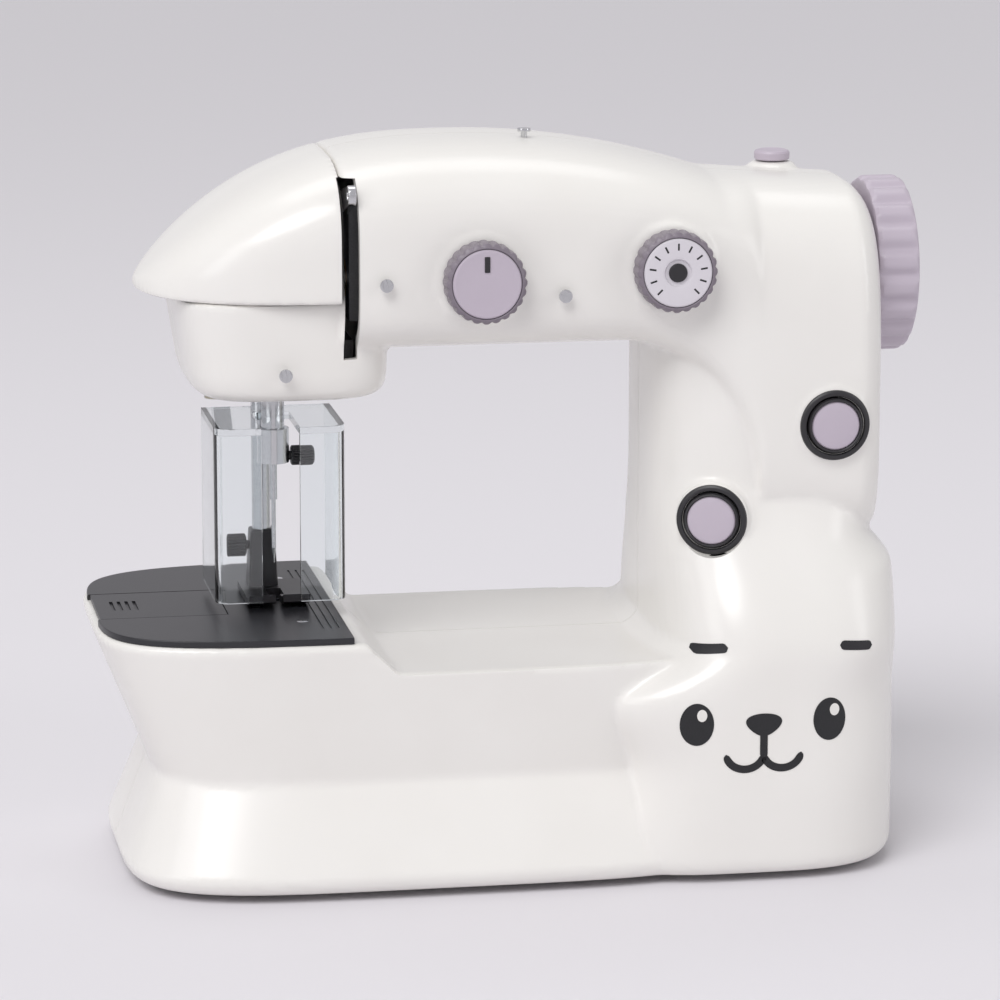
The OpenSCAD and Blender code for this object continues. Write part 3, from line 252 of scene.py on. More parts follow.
# %% Finish: clear plastics
def clear(name, colour, rough_low, rough_high, through):
    """A clear plastic with faint flow marks from the mould."""
    material, tree = blank(name)
    place = add(tree, "TexCoord", {}).outputs["Object"]
    flow = add(tree, "TexNoise", {"Scale": per(8), "Detail": 2}, {"Vector": place}).outputs["Fac"]
    rough = add(tree, "MapRange", {"To Min": rough_low, "To Max": rough_high}, {"Value": flow}).outputs[0]
    surface = add(tree, "BsdfPrincipled", {"Base Color": linear(colour), "IOR": 1.58, "Transmission Weight": through},
                  {"Roughness": rough})
    add(tree, "OutputMaterial", {}, {"Surface": surface.outputs[0]})
    return material


clear_guard = clear("clear_polycarbonate", "#F6FBFC", 0.02, 0.06, 1.0)
frosted_lens = clear("frosted_acrylic", "#FBF6E2", 0.4, 0.55, 0.75)
print("clear plastics ready")

# %% [markdown]
# ## The housing
# The housing is one flowing form: a bed with a groove round its foot, a broad column, an arched arm and a needle head.
# Each is a skin stretched over a row of rounded outlines, like the frames of a boat. A flat grid is wrapped round those
# outlines, its open ends are capped, and Booleans join the four bodies. A voxel remesh followed by smoothing then
# rounds every meeting line, as the radius of a mould does. Bevels could not follow such long curved meetings.


# %% Outlines
def rounded(count, power, ca, ha, cb, hb, low_power=None):
    """A closed outline between an ellipse and a rectangle. A higher power is squarer, and the lower half may differ."""
    points = []
    for i in range(count):
        t = 2*math.pi*(i + 0.5)/count
        c, s = math.cos(t), math.sin(t)
        p = 2/(low_power if low_power and s < 0 else power)
        points.append((ca + ha*math.copysign(abs(c)**p, c), cb + hb*math.copysign(abs(s)**p, s)))
    return points


def ease(a, b, t):
    t = min(1, max(0, t))
    return a + (b - a)*t*t*(3 - 2*t)


# Places along the machine, from its left end to its right end.
X_LEFT, TIP_X, HEAD_L, NEEDLE_X, SLOT_L, SLOT_R = -108, -95, -86, -59, -44.8, -41.2
NOSE_X, HEAD_R, HUMP_X, BLOCK_L, ARC_X, COLUMN_L = -37, -31, -10.8, 15, 29, 38
BED_END, COLUMN_R, BASE_R = COLUMN_L + 22, 96, 102
# Heights, from the foot to the top of the arm.
FOOT_Z, FOOT_EDGE_Z, WAIST_Z, BLEND_Z, SHELF_Z, BED_TOP, STEP_Z, ARC_Z = 2, 6, 29, 47, 58, 66.4, 78, 86
HEAD_UNDER, ARM_UNDER, SEAM_Z, SHAFT_Z, TOP_Z = 126, 138, 152, 153, 190
# Half depths, and the runs over which one form turns into the next.
BASE_HALF, ARM_HALF, COLUMN_HALF, HEAD_HALF = 53, 37, 34, 33
BLOCK_NOTCH, BLOCK_RUN, STEP_RUN, FLARE_RUN = 7, 15, 10, 45
ARC_W, END_R, ARM_DIP, ARM_FALL, NOSE_RISE, HEAD_LEAN = 34, 9, 11, 2, 2.5, 4
WALL = 2.4
DIP_X = ARC_X + ARC_W*math.sin(math.radians(50))
# How square each outline is: 2 is an ellipse.
BED_SQUARE, COLUMN_SQUARE, ARM_SQUARE, ARM_LOW_SQUARE, HEAD_SQUARE = 4.5, 3.4, 3, 5, 4


def bed_outline(inset, lean, count, end=0):
    left = X_LEFT + inset + end
    return rounded(count, BED_SQUARE, (left + BED_END)/2, (BED_END - left)/2, 0, BASE_HALF - inset - lean)


def column_outline(z, inset, count):
    if z < WAIST_Z:
        left = ease(BLOCK_L, BLOCK_L + BLOCK_NOTCH, (z - FOOT_EDGE_Z)/(WAIST_Z - FOOT_EDGE_Z))
    elif z < BLEND_Z:
        left = ease(BLOCK_L + BLOCK_NOTCH, BLOCK_L, (z - WAIST_Z)/(BLEND_Z - WAIST_Z))
    else:
        left = ease(BLOCK_L, COLUMN_L, (z - BLEND_Z)/BLOCK_RUN)
    right = ease(BASE_R, COLUMN_R, (z - STEP_Z)/STEP_RUN)
    half = ease(BASE_HALF, COLUMN_HALF, (z - SHELF_Z)/FLARE_RUN)
    return rounded(count, COLUMN_SQUARE, (left + right)/2, (right - left)/2 - inset, 0, half - inset)


def arm_top(x):
    if x < HUMP_X:
        return TOP_Z - (TOP_Z - SEAM_Z - NOSE_RISE)*((HUMP_X - x)/(HUMP_X - TIP_X))**2.7
    if x < DIP_X:
        return TOP_Z - ARM_DIP*((x - HUMP_X)/(DIP_X - HUMP_X))**2
    return TOP_Z - ARM_DIP - ARM_FALL*(x - DIP_X)/(COLUMN_R - DIP_X)


def arm_outline(x, inset, count):
    reach = min(1, max(0, (x - ARC_X)/ARC_W))
    end = max(0, x - COLUMN_R + END_R)
    fall = END_R - math.sqrt(max(0, END_R**2 - end**2))
    low = ARC_Z + (ARM_UNDER - ARC_Z)*math.sqrt(1 - reach**2) + inset
    high = arm_top(x) - inset - fall
    nose = (NOSE_X - x)/(NOSE_X - TIP_X)
    half = ARM_HALF if nose < 0 else max(2, ARM_HALF*(1 - min(1, nose)**3)**0.45)
    return rounded(count, ARM_SQUARE, 0, half - inset - fall, (low + high)/2, (high - low)/2, ARM_LOW_SQUARE)


def head_outline(z, inset, count):
    lean = HEAD_LEAN*(SEAM_Z - z)/(SEAM_Z - HEAD_UNDER)
    left = HEAD_L + lean
    return rounded(count, HEAD_SQUARE, (left + HEAD_R)/2, (HEAD_R - left)/2 - inset, 0, HEAD_HALF - 0.4*lean - inset)


print("housing runs from", X_LEFT, "to", BASE_R, "and up to", TOP_Z, "mm")


# %% Working with pieces
def named(name):
    """Names the piece that was just added and puts its place into its mesh."""
    piece = bpy.context.object
    piece.name = piece.data.name = name
    bpy.ops.object.transform_apply(location=True, rotation=True, scale=True)
    return piece


def loft(name, rings):
    """Wraps a flat grid round a row of closed outlines, in millimetres, and caps its two ends."""
    bpy.ops.object.select_all(action="DESELECT")
    bpy.ops.mesh.primitive_grid_add(x_subdivisions=len(rings[0]), y_subdivisions=len(rings) - 1, size=1)
    piece = named(name)
    wrapped = [c*MM for ring in rings for point in ring + ring[:1] for c in point]
    piece.data.vertices.foreach_set("co", wrapped)
    bpy.ops.object.mode_set(mode="EDIT")
    bpy.ops.mesh.select_all(action="SELECT")
    bpy.ops.mesh.remove_doubles(threshold=1e-6)
    bpy.ops.mesh.fill_holes(sides=0)
    bpy.ops.mesh.select_all(action="SELECT")
    bpy.ops.mesh.normals_make_consistent(inside=False)
    bpy.ops.object.mode_set(mode="OBJECT")
    return piece


def block(name, low, high):
    """A box between two corners, in millimetres."""
    middle = [(a + b)/2*MM for a, b in zip(low, high)]
    bpy.ops.mesh.primitive_cube_add(size=1, location=middle, scale=[(b - a)*MM for a, b in zip(low, high)])
    return named(name)


def rod(name, start, along, radius, length, sides=64):
    """A round bar from a point along an axis, in millimetres."""
    axis = Vector(along).normalized()
    middle = (Vector(start) + axis*length/2)*MM
    bpy.ops.mesh.primitive_cylinder_add(vertices=sides, radius=radius*MM, depth=length*MM, location=middle,
                                        rotation=axis.to_track_quat("Z", "Y").to_euler())
    return named(name)


def finish_step(piece, kind, **settings):
    """Adds one modifier with its settings and applies it."""
    step = piece.modifiers.new(kind.lower(), kind)
    for key, value in settings.items():
        setattr(step, key, value)
    bpy.context.view_layer.objects.active = piece
    bpy.ops.object.modifier_apply(modifier=step.name)
    return piece


def combine(piece, other, operation="UNION", keep=False):
    """Joins another solid to this one, cuts it out or keeps what they share."""
    finish_step(piece, "BOOLEAN", operation=operation, solver="MANIFOLD", object=other)
    if not keep:
        bpy.data.meshes.remove(other.data)
    return piece


def twin(piece, name):
    """A second piece with a mesh of its own."""
    copy = piece.copy()
    copy.data = piece.data.copy()
    copy.name = copy.data.name = name
    bpy.context.scene.collection.objects.link(copy)
    return copy


def smooth(piece, angle):
    """Smooth shading that stays sharp where faces meet at more than this angle."""
    bpy.ops.object.select_all(action="DESELECT")
    piece.select_set(True)
    bpy.context.view_layer.objects.active = piece
    bpy.ops.object.shade_smooth_by_angle(angle=math.radians(angle))


def settle(piece, body, finish, *nodes, slot=None, angle=35):
    """Gives a finished piece its shading and material, and puts it on its body in place of CAD nodes."""
    smooth(piece, angle)
    finish_step(piece, "WEIGHTED_NORMAL", keep_sharp=True)
    piece.data.materials.clear()
    piece.data.materials.append(finish)
    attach(piece, body)
    if nodes:
        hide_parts(*nodes)
    print(piece.name, len(piece.data.polygons), "faces")
    return piece


# %% The four bodies and their hollows
FAR = 300
AROUND = 144
INSIDE = 72


def spread(low, high, step):
    count = max(1, round((high - low)/step))
    return [low + (high - low)*i/count for i in range(count + 1)]


def lift(outline, z):
    return [(a, b, z) for a, b in outline]


def stand(outline, x):
    return [(x, a, b) for a, b in outline]


# A bed level is its height, how far it is drawn in all round, how far its sides lean in, and its left end's set-back.
BED_LEVELS = [(FOOT_Z, 3, 0, 6), (3.2, 1, 0, 6), (FOOT_EDGE_Z, 0, 0, 6), (WAIST_Z, 11, 0, 3.5),
              (65.2, 0, 6, 0), (BED_TOP, 0.8, 6, 0)]
# A level of the column's foot or of the head is its height and how far it is drawn in, for the rounded lower edge.
FOOT_LEVELS = [(FOOT_Z, 3), (2.5, 1.9), (3.2, 1), (4.4, 0.3)]
HEAD_LEVELS = [(0, 4), (0.4, 2.6), (1, 1.6), (2, 0.8), (3, 0.4), (6, 0), (26, 0)]
ARM_STATIONS = ([TIP_X + (HUMP_X - TIP_X)*(i/44)**1.6 for i in range(45)] + spread(HUMP_X, ARC_X, 3)[1:]
                + [ARC_X + ARC_W*math.sin(math.radians(a)) for a in range(3, 91, 3)]
                + [COLUMN_R - END_R + END_R*math.sin(math.radians(a)) for a in range(20, 81, 10)])

bed = loft("bed", [lift(bed_outline(inset, lean, AROUND, end), z) for z, inset, lean, end in BED_LEVELS])
column = loft("column", [lift(column_outline(z, inset, AROUND), z) for z, inset in FOOT_LEVELS]
              + [lift(column_outline(z, 0, AROUND), z) for z in spread(FOOT_EDGE_Z, SHAFT_Z, 1.5)])
arm = loft("arm", [stand(arm_outline(x, 0, AROUND), x) for x in ARM_STATIONS])
head = loft("head", [lift(head_outline(HEAD_UNDER + z, inset, AROUND), HEAD_UNDER + z) for z, inset in HEAD_LEVELS])
RAMP_X, RAMP_W, RAMP_TOP = -43, 10, 68


def shelf_cut(name, inset):
    """The prism that cuts the bed down to the shelf beside the column."""
    ramp, floor_z = RAMP_X - 0.4*inset, SHELF_Z - inset
    corners = [(ramp, FAR), (ramp, RAMP_TOP - inset), (ramp + RAMP_W, floor_z), (FAR, floor_z), (FAR, FAR)]
    return loft(name, [[(x, y, z) for x, z in corners] for y in (-FAR, FAR)])


combine(bed, shelf_cut("shelf", 0), "DIFFERENCE")
nose = twin(arm, "nose_cover")
combine(arm, block("end", (-FAR, -FAR, 0), (SLOT_L, FAR, FAR)), "DIFFERENCE")
skin = combine(combine(combine(bed, column), head), arm)
skin.name = "housing"
print("housing joined:", len(skin.data.polygons), "faces")

# %% [markdown]
# ## Bosses, rounding and hollow
# The dials and buttons sit on round bosses, and the spool pin slides in a sleeve, all moulded with the shells. They are
# joined before the remesh, so their feet get the same small radius as every other meeting line. The remesh gives even
# quads 0.9 mm across, and the smoothing rounds the steps between them. Then the hollow is cut, less the screw posts.

# %% Bosses and rounded skin
DIAL_Y, LAMP_Y, DIAL_R, BUTTON_R, LOOSE = -37.4, -36, 10.5, 7.2, 0.3
TENSION, SPEED, POWER, BULB = (-10, 157.5), (39, 159), (82, 117), (50, 93)
INWARD, RIGHT, UP = Vector((0, 1, 0)), Vector((1, 0, 0)), Vector((0, 0, 1))
BULB_TURN = math.radians(-20)
BULB_INWARD = Vector((-math.sin(BULB_TURN), math.cos(BULB_TURN), 0))
SPOOL_X, SPOOL_Y, SLEEVE_TOP = 76, 12, 179
BOSS_R, BOSS_L, SLEEVE_R, SLEEVE_L = BUTTON_R + LOOSE + 2, 11.4, 6, 27
POSTS = [(10, 176), (46, 174), (47, 110), (52, 16), (-91, 41), (22, 24)]


def face_at(spot, y):
    """A point on the front from its place along X and up Z."""
    return (spot[0], y, spot[1])


for spot in (TENSION, SPEED):
    combine(skin, rod("dial_boss", face_at(spot, DIAL_Y), INWARD, DIAL_R + 1, 13))
combine(skin, rod("power_boss", face_at(POWER, DIAL_Y), INWARD, BOSS_R, BOSS_L))
combine(skin, rod("lamp_boss", face_at(BULB, LAMP_Y), BULB_INWARD, BOSS_R, BOSS_L))
combine(skin, rod("spool_sleeve", (SPOOL_X, SPOOL_Y, SLEEVE_TOP - SLEEVE_L), UP, SLEEVE_R, SLEEVE_L))


def round_over(piece, voxel_mm, passes):
    """Even quads over the whole piece, then smoothing that rounds its edges and meeting lines."""
    finish_step(piece, "REMESH", mode="VOXEL", voxel_size=voxel_mm*MM)
    finish_step(piece, "SMOOTH", factor=0.5, iterations=passes)
    print(piece.name, "rounded:", len(piece.data.polygons), "faces")


round_over(skin, 0.9, 4)


# %% The hollow
BED_HOLLOW = [(1.5, 3, 0, 6), (5, 3, 0, 6), (8, 0.6, 0, 6), (WAIST_Z, 11, 0, 3.5), (BED_TOP - WALL, 0, 6, 0)]
FOOT_HOLLOW = [(1.5, 3), (5, 3), (8, 0.6)]
HEAD_HOLLOW = [(HEAD_UNDER + WALL, 2), (HEAD_UNDER + 5, 0), (SEAM_Z + 0.5, 0)]
POST_R = 4
ARM_HOLLOW = [x for x in ARM_STATIONS if TIP_X + 8 <= x <= COLUMN_R - WALL]


def arm_hollow(name):
    return loft(name, [stand(arm_outline(x, WALL, INSIDE), x) for x in ARM_HOLLOW])


hollow = loft("hollow", [lift(bed_outline(inset + WALL, lean, INSIDE, end), z) for z, inset, lean, end in BED_HOLLOW])
combine(hollow, shelf_cut("shelf_inside", WALL), "DIFFERENCE")
combine(hollow, loft("column_inside", [lift(column_outline(z, inset + WALL, INSIDE), z) for z, inset in FOOT_HOLLOW]
                     + [lift(column_outline(z, WALL, INSIDE), z) for z in spread(10, SHAFT_Z - WALL, 3)]))
combine(hollow, loft("head_inside", [lift(head_outline(z, inset + WALL, INSIDE), z) for z, inset in HEAD_HOLLOW]))
inside = combine(arm_hollow("arm_inside"), block("nose_room", (-FAR, -FAR, 0), (SLOT_L, FAR, FAR)), "DIFFERENCE")
combine(hollow, inside)
for x, z in POSTS:
    combine(hollow, rod("post", (x, -FAR, z), INWARD, POST_R, 2*FAR), "DIFFERENCE")
combine(skin, hollow, "DIFFERENCE")
print("hollow cut:", len(skin.data.polygons), "faces")

# %% [markdown]
# ## Front and rear shells
# The mould parts along the middle plane, so the skin is copied and each copy keeps one side. A gap of a quarter
# millimetre leaves the fine dark line that every two-shell toy shows. Openings come last, with crisp edges, because the
# smoothing would have closed them.


# %% Front shell
def cut(piece, tools):
    """Joins the cutting tools, then cuts them out of the piece in one go."""
    first = tools[0]
    for tool in tools[1:]:
        combine(first, tool)
    return combine(piece, first, "DIFFERENCE")


PARTING = 0.12
SLOT_HIGH = arm_top((SLOT_L + SLOT_R)/2) - WALL - 2
GATE_HALF, GATE_FRONT, GATE_BACK = 8, -7, 16
FEED_HALF, BOBBIN_HALF, BOBBIN_L, BOBBIN_R = 12.5, 12, -103, -76
BED_UNDER, BED_OVER = BED_TOP - WALL - 0.5, BED_TOP + 2
# A thread guide is its place along X, its height and the depth at which it meets the shell.
GUIDES = [(-60, 134, -33), (-34.75, 157, -37), (11.07, 153, -36.9)]
AHEAD, CLEAR, CUP_DEPTH, STEM_R, PRESS, GUIDE_R = -60, 20, 9, 3, 0.06, 0.82


def shared_tools():
    """Openings that cross the parting plane: needle gate, shaft hole, feed and bobbin openings."""
    return [
        block("gate", (NEEDLE_X - GATE_HALF, GATE_FRONT, HEAD_UNDER - 2),
              (NEEDLE_X + GATE_HALF, GATE_BACK, HEAD_UNDER + 8)),
        rod("shaft_hole", (COLUMN_R - 20, 0, SHAFT_Z), RIGHT, 5, 60),
        block("feed_opening", (NEEDLE_X - 13, -FEED_HALF, BED_UNDER), (NEEDLE_X + 13, FEED_HALF, BED_OVER)),
        block("bobbin_opening", (BOBBIN_L, -BOBBIN_HALF, BED_UNDER), (BOBBIN_R, BOBBIN_HALF, BED_OVER)),
    ]


front = twin(skin, "front_shell_skin")
combine(front, block("front_side", (-FAR, -FAR, -FAR), (FAR, -PARTING, FAR)), "INTERSECT")
tools = shared_tools()
lamp_start = Vector(face_at(BULB, LAMP_Y)) - BULB_INWARD*CLEAR
tools += [rod("dial_bore", face_at(spot, AHEAD), INWARD, STEM_R + PRESS, 32.6) for spot in (TENSION, SPEED)]
tools.append(rod("power_bore", face_at(POWER, DIAL_Y - CLEAR), INWARD, BUTTON_R + LOOSE, CLEAR + CUP_DEPTH))
tools.append(rod("lamp_bore", lamp_start, BULB_INWARD, BUTTON_R + LOOSE, CLEAR + CUP_DEPTH))
tools.append(rod("lamp_recess", lamp_start, BULB_INWARD, BOSS_R, CLEAR))
tools.append(block("take_up_slot", (SLOT_L, AHEAD, ARM_UNDER - 1), (SLOT_R, -ARM_HALF/2, SLOT_HIGH)))
tools.append(rod("lens_hole", (-75, -11, HEAD_UNDER - 2), UP, 3.02, 4.9))
tools += [rod("guide_hole", (x, AHEAD, z), INWARD, GUIDE_R, y - AHEAD + 4.5) for x, z, y in GUIDES]
tools.append(rod("top_guide_hole", (6.2, -6, 181), UP, GUIDE_R, CLEAR))
tools += [rod("pilot", (x, -9, z), INWARD, 1.6, 12) for x, z in POSTS]
cut(front, tools)
settle(front, "machine", white_abs, "front_shell", slot="white_plastic")

# %% Rear shell
SPOOL_R, SOCKET_Z, SOCKET_Y = 2.5, 24, {"power": 9, "pedal": 23}
rear = skin
rear.name = rear.data.name = "rear_shell_skin"
combine(rear, block("rear_side", (-FAR, PARTING, -FAR), (FAR, FAR, FAR)), "INTERSECT")
tools = shared_tools()
for x, z in POSTS:
    tools.append(rod("shank_hole", (x, -2, z), INWARD, 1.7, 14))
    tools.append(rod("screw_well", (x, 8, z), INWARD, 3.2, 70))
tools.append(rod("spool_bore", (SPOOL_X, SPOOL_Y, 100), UP, SPOOL_R + PRESS, 100))
tools += [rod("socket_hole", (BASE_R - 12, y, SOCKET_Z), RIGHT, 4.02, 30) for y in SOCKET_Y.values()]
tools.append(block("lever_window", (-71.5, HEAD_HALF - 14, HEAD_UNDER - 1), (-65, 60, SEAM_Z - 1)))
cut(rear, tools)
settle(rear, "machine", white_abs, "rear_shell", slot="white_plastic")

# %% [markdown]
# ## Nose cover
# The pointed cover over the needle head is a moulding of its own, which lifts off to oil the machine. It is the arm's
# own skin, kept left of the take-up slot and above the seam, so that the two run on in one line.

# %% Nose cover
combine(nose, block("nose_side", (-FAR, -FAR, SEAM_Z), (SLOT_L - PARTING, FAR, FAR)), "INTERSECT")
round_over(nose, 0.7, 6)
cut(nose, [arm_hollow("nose_inside"),
           block("slot_side", (SLOT_L - 1, AHEAD, ARM_UNDER - 1), (0, -ARM_HALF/2, SLOT_HIGH))])
settle(nose, "machine", white_abs, "head_cover", slot="white_plastic")

# %% [markdown]
# ## Turned and knurled pieces
# Dials, wheel, screws and pins are round, so one helper strings round outlines along an axis. A wave on an outline's
# radius gives the finger grips, which a row of cut notches would give with many more faces. Short steps in a profile
# round its edges, and straight pieces get a small bevel, because real mouldings have no hard edge.


# %% Turning helper
def turned(name, start, along, profile, sides=96, grips=0):
    """A round piece along an axis, from rows of distance, radius and, where it has grips, their depth."""
    axis = Vector(along).normalized()
    across = axis.orthogonal().normalized()
    other = axis.cross(across)
    rings = []
    for distance, radius, *grip in profile:
        middle = Vector(start) + axis*distance
        ring = []
        for i in range(sides):
            t = 2*math.pi*i/sides
            r = radius - sum(grip)*(0.5 - 0.5*math.cos(grips*t))**2
            ring.append(tuple(middle + (across*math.cos(t) + other*math.sin(t))*r))
        rings.append(ring)
    return loft(name, rings)


def soften(piece, width_mm, angle=40, segments=2):
    """Rounds every edge that is sharper than an angle."""
    return finish_step(piece, "BEVEL", width=width_mm*MM, segments=segments, limit_method="ANGLE",
                       angle_limit=math.radians(angle))


def join(name, pieces):
    """Puts several closed meshes into one piece."""
    bpy.ops.object.select_all(action="DESELECT")
    for piece in pieces:
        piece.select_set(True)
    bpy.context.view_layer.objects.active = pieces[0]
    bpy.ops.object.join()
    pieces[0].name = pieces[0].data.name = name
    return pieces[0]


# %% [markdown]
# ## Dials
# Each dial is a ribbed mauve skirt with a paler face let into it. The left one sets the thread tension and has a raised
# pointer. The right one sets the speed and has a dark middle and a ring of short marks, one modelled and ten copied.

# %% Dials
DIAL_BACK, OUTWARD = DIAL_Y - LOOSE, -INWARD
FACE_R, RECESS_R, STEM_L = 8.8, 8.9, 9.3
SKIRT = [(0, 9.9), (0.4, 10.4, 0.3), (1.2, DIAL_R, 0.55), (5.2, DIAL_R, 0.55), (6, 10.25, 0.4), (6.5, 9.7, 0.1),
         (6.7, 9.2), (6.6, RECESS_R + 0.1)]
FACE_EDGE = [(6.5, FACE_R), (6.85, 8.5), (6.95, 8)]


def dial_skirt(name, spot, recess):
    """The skirt with its stem behind and a round recess in front."""
    skirt = turned(name, face_at(spot, DIAL_BACK), OUTWARD, SKIRT + [(recess, RECESS_R)], sides=288, grips=24)
    return combine(skirt, rod("stem", face_at(spot, DIAL_BACK - 1), INWARD, STEM_R, STEM_L))


tension = dial_skirt("tension_skirt", TENSION, 6)
settle(tension, "tension", mauve_abs, "tension_dial", slot="lilac_plastic", angle=30)
disc = turned("tension_face", face_at(TENSION, DIAL_BACK), OUTWARD,
              [(5.9, FACE_R)] + FACE_EDGE + [(6.7, 7.2), (6.7, 3), (6.75, 0.2)])
settle(disc, "tension", lilac_abs, slot="lilac_plastic", angle=30)
x, z = TENSION
pointer = block("tension_pointer", (x - 0.7, DIAL_BACK - 7, z + 3), (x + 0.7, DIAL_BACK - 6.5, z + 7))
settle(soften(pointer, 0.2, segments=3), "tension", charcoal_abs, slot="black_plastic")

speed = dial_skirt("speed_skirt", SPEED, 5.8)
settle(speed, "speed", mauve_abs, "speed_dial", slot="lilac_plastic", angle=30)
ring = turned("speed_face", face_at(SPEED, DIAL_BACK), OUTWARD,
              [(5.7, FACE_R)] + FACE_EDGE + [(6.95, 4.2), (6.8, 3.6), (6.2, 3.2), (6.1, 0.2)])
settle(ring, "speed", pale_abs, slot="lilac_plastic", angle=30)
hub = turned("speed_hub", face_at(SPEED, DIAL_BACK), OUTWARD,
             [(5.9, 2.4), (6.5, 2.4), (6.75, 2.2), (6.85, 1.7), (6.7, 1), (6.7, 0.2)], sides=64)
settle(hub, "speed", charcoal_abs, slot="black_plastic", angle=30)

# %% Marks on the speed dial
MARKS, FIRST_MARK, MARK_STEP = 11, -135, 27
x, z = SPEED
mark = block("speed_mark", (x - 0.25, DIAL_BACK - 7, z + 5.8), (x + 0.25, DIAL_BACK - 6.8, z + 7.6))
soften(mark, 0.08)
marks = []
for i in range(MARKS):
    copy = twin(mark, "speed_mark_copy")
    bpy.ops.object.select_all(action="DESELECT")
    copy.select_set(True)
    bpy.context.view_layer.objects.active = copy
    bpy.ops.transform.rotate(value=math.radians(FIRST_MARK + MARK_STEP*i), orient_axis="Y",
                             center_override=Vector(face_at(SPEED, 0))*MM)
    bpy.ops.object.transform_apply(location=True, rotation=True, scale=True)
    marks.append(copy)
bpy.data.meshes.remove(mark.data)
settle(join("speed_marks", marks), "speed", ink, slot="black_plastic")

# %% [markdown]
# ## Push buttons
# Each button is a dark cap with a pale domed face, in a dark bezel ring that is pressed over its boss. The caps travel
# 1.5 mm, so the bezel stands free of them by a little more than the bore does.

# %% Buttons and bezels
CAP_PROUD, BEZEL_PROUD, BEZEL_R = 1.4, 0.8, 7.6
CAP = [(0.7, 0.2), (0.7, 6.3), (0.2, 6.4), (0, 6.6), (0.1, 6.9), (0.4, 7.1), (0.9, BUTTON_R), (5.8, BUTTON_R), (6, 7)]
CAP_FACE = [(0, 0.2), (0.02, 2), (0.08, 3.7), (0.18, 5.1), (0.34, 5.95), (0.6, 6.25), (1.2, 6.25)]
BEZEL = [(0.95, BEZEL_R), (0.3, BEZEL_R), (0.05, 7.8), (0, 8.2), (0.1, 8.7), (0.4, 9.05), (0.95, 9.2)]


def push_button(name, spot, y, inward, body, node):
    """A cap, its pale face and the bezel round it."""
    face = Vector(face_at(spot, y))
    cap = turned(name + "_button_cap", face - inward*CAP_PROUD, inward, CAP)
    settle(cap, body, charcoal_abs, node, slot="black_plastic", angle=30)
    disc = turned(name + "_button_face", face - inward*CAP_PROUD, inward, CAP_FACE)
    settle(disc, body, lilac_abs, slot="lilac_plastic", angle=30)
    bezel = turned(name + "_button_bezel", face - inward*BEZEL_PROUD, inward, BEZEL)
    combine(bezel, rod("bezel_bore", face - inward*5, inward, BEZEL_R, 10, sides=96), "DIFFERENCE")
    settle(bezel, "machine", charcoal_abs, slot="black_plastic", angle=30)


push_button("power", POWER, DIAL_Y, INWARD, "power", "power_button")
push_button("lamp", BULB, LAMP_Y, BULB_INWARD, "lamp", "lamp_button")

# %% [markdown]
# ## Handwheel
# The lilac wheel on the right end turns the whole drive by hand. Its rim has twenty finger grips, and its dished face
# holds the spindle that a bobbin is wound on. One profile goes round the rim, down into the dish and up the spindle.

# %% Handwheel
RIM = [(0, 21.2), (0.3, 22.2, 0.4), (1.2, 22.9, 1), (2, 23, 1.2), (9, 23, 1.2), (10, 22.8, 1), (10.7, 22.2, 0.4)]
DISH = [(11, 21.4), (11, 20.2), (10.6, 19.5), (9.8, 19.1), (5.8, 18.8), (5.2, 18.3), (5, 17.4), (5, 12), (5.25, 11.6),
        (5.25, 10.4), (5, 10), (5, 3.9)]
SPINDLE = [(5.2, 3.3), (5.7, 2.95), (9.8, 2.95), (10.3, 2.7), (10.5, 2.2)]
wheel = turned("wheel", (COLUMN_R + 1, 0, SHAFT_Z), RIGHT, RIM + DISH + SPINDLE, sides=320, grips=20)
combine(wheel, rod("wheel_bore", (COLUMN_R, 0, SHAFT_Z), RIGHT, 3.02, 4.5), "DIFFERENCE")
settle(wheel, "drive", lilac_abs, "handwheel", slot="lilac_plastic", angle=30)

# %% [markdown]
# ## Spool pin and thumb screws
# The spool pin pulls up out of its sleeve to hold a reel, and its head has a dished top for a fingertip. The needle and
# the presser foot are each held by a thumb screw with a knurled head.

# %% Spool pin and screws
PRESSER_X, PRESSER_Y, FOOT_SCREW_Z, CLAMP_Z = -61, 10, 81, 106.5
PIN = [(0, 2.1), (0.5, SPOOL_R), (50.3, SPOOL_R)]
PIN_HEAD = [(50.35, 4.3), (50.6, 4.65), (52.2, 4.7), (52.7, 4.4), (52.9, 3.8), (52.6, 2.6), (52.5, 0.2)]
pin = turned("spool_rod", (SPOOL_X, SPOOL_Y, SLEEVE_TOP - 50), UP, PIN + PIN_HEAD, sides=64)
settle(pin, "spool", lilac_abs, "spool_pin", slot="lilac_plastic", angle=30)


def thumb_screw(name, start, along, radius, length, shank):
    """A knurled head on a plain shank, which starts at the head's inner face."""
    plain = [(-shank, 0.8), (-shank + 0.4, 1.2), (0, 1.2), (0, radius - 0.5)]
    knurled = [(0.3, radius, 0.1), (0.9, radius, 0.3), (length - 1, radius, 0.3), (length - 0.4, radius - 0.1, 0.1)]
    dished = [(length, radius - 0.6), (length - 0.2, radius - 1), (length - 0.2, 0.2)]
    return turned(name, start, along, plain + knurled + dished, sides=160, grips=20)


screw = thumb_screw("clamp_thumb_screw", (NEEDLE_X + 4.6, 0, CLAMP_Z), RIGHT, 2.6, 6, 2.4)
settle(screw, "needle_body", charcoal_abs, "clamp_screw", slot="black_plastic", angle=30)
screw = thumb_screw("foot_thumb_screw", (PRESSER_X - 4.2, PRESSER_Y, FOOT_SCREW_Z), -RIGHT, 3, 6, 1.3)
settle(screw, "presser", charcoal_abs, "foot_screw", slot="black_plastic", angle=30)

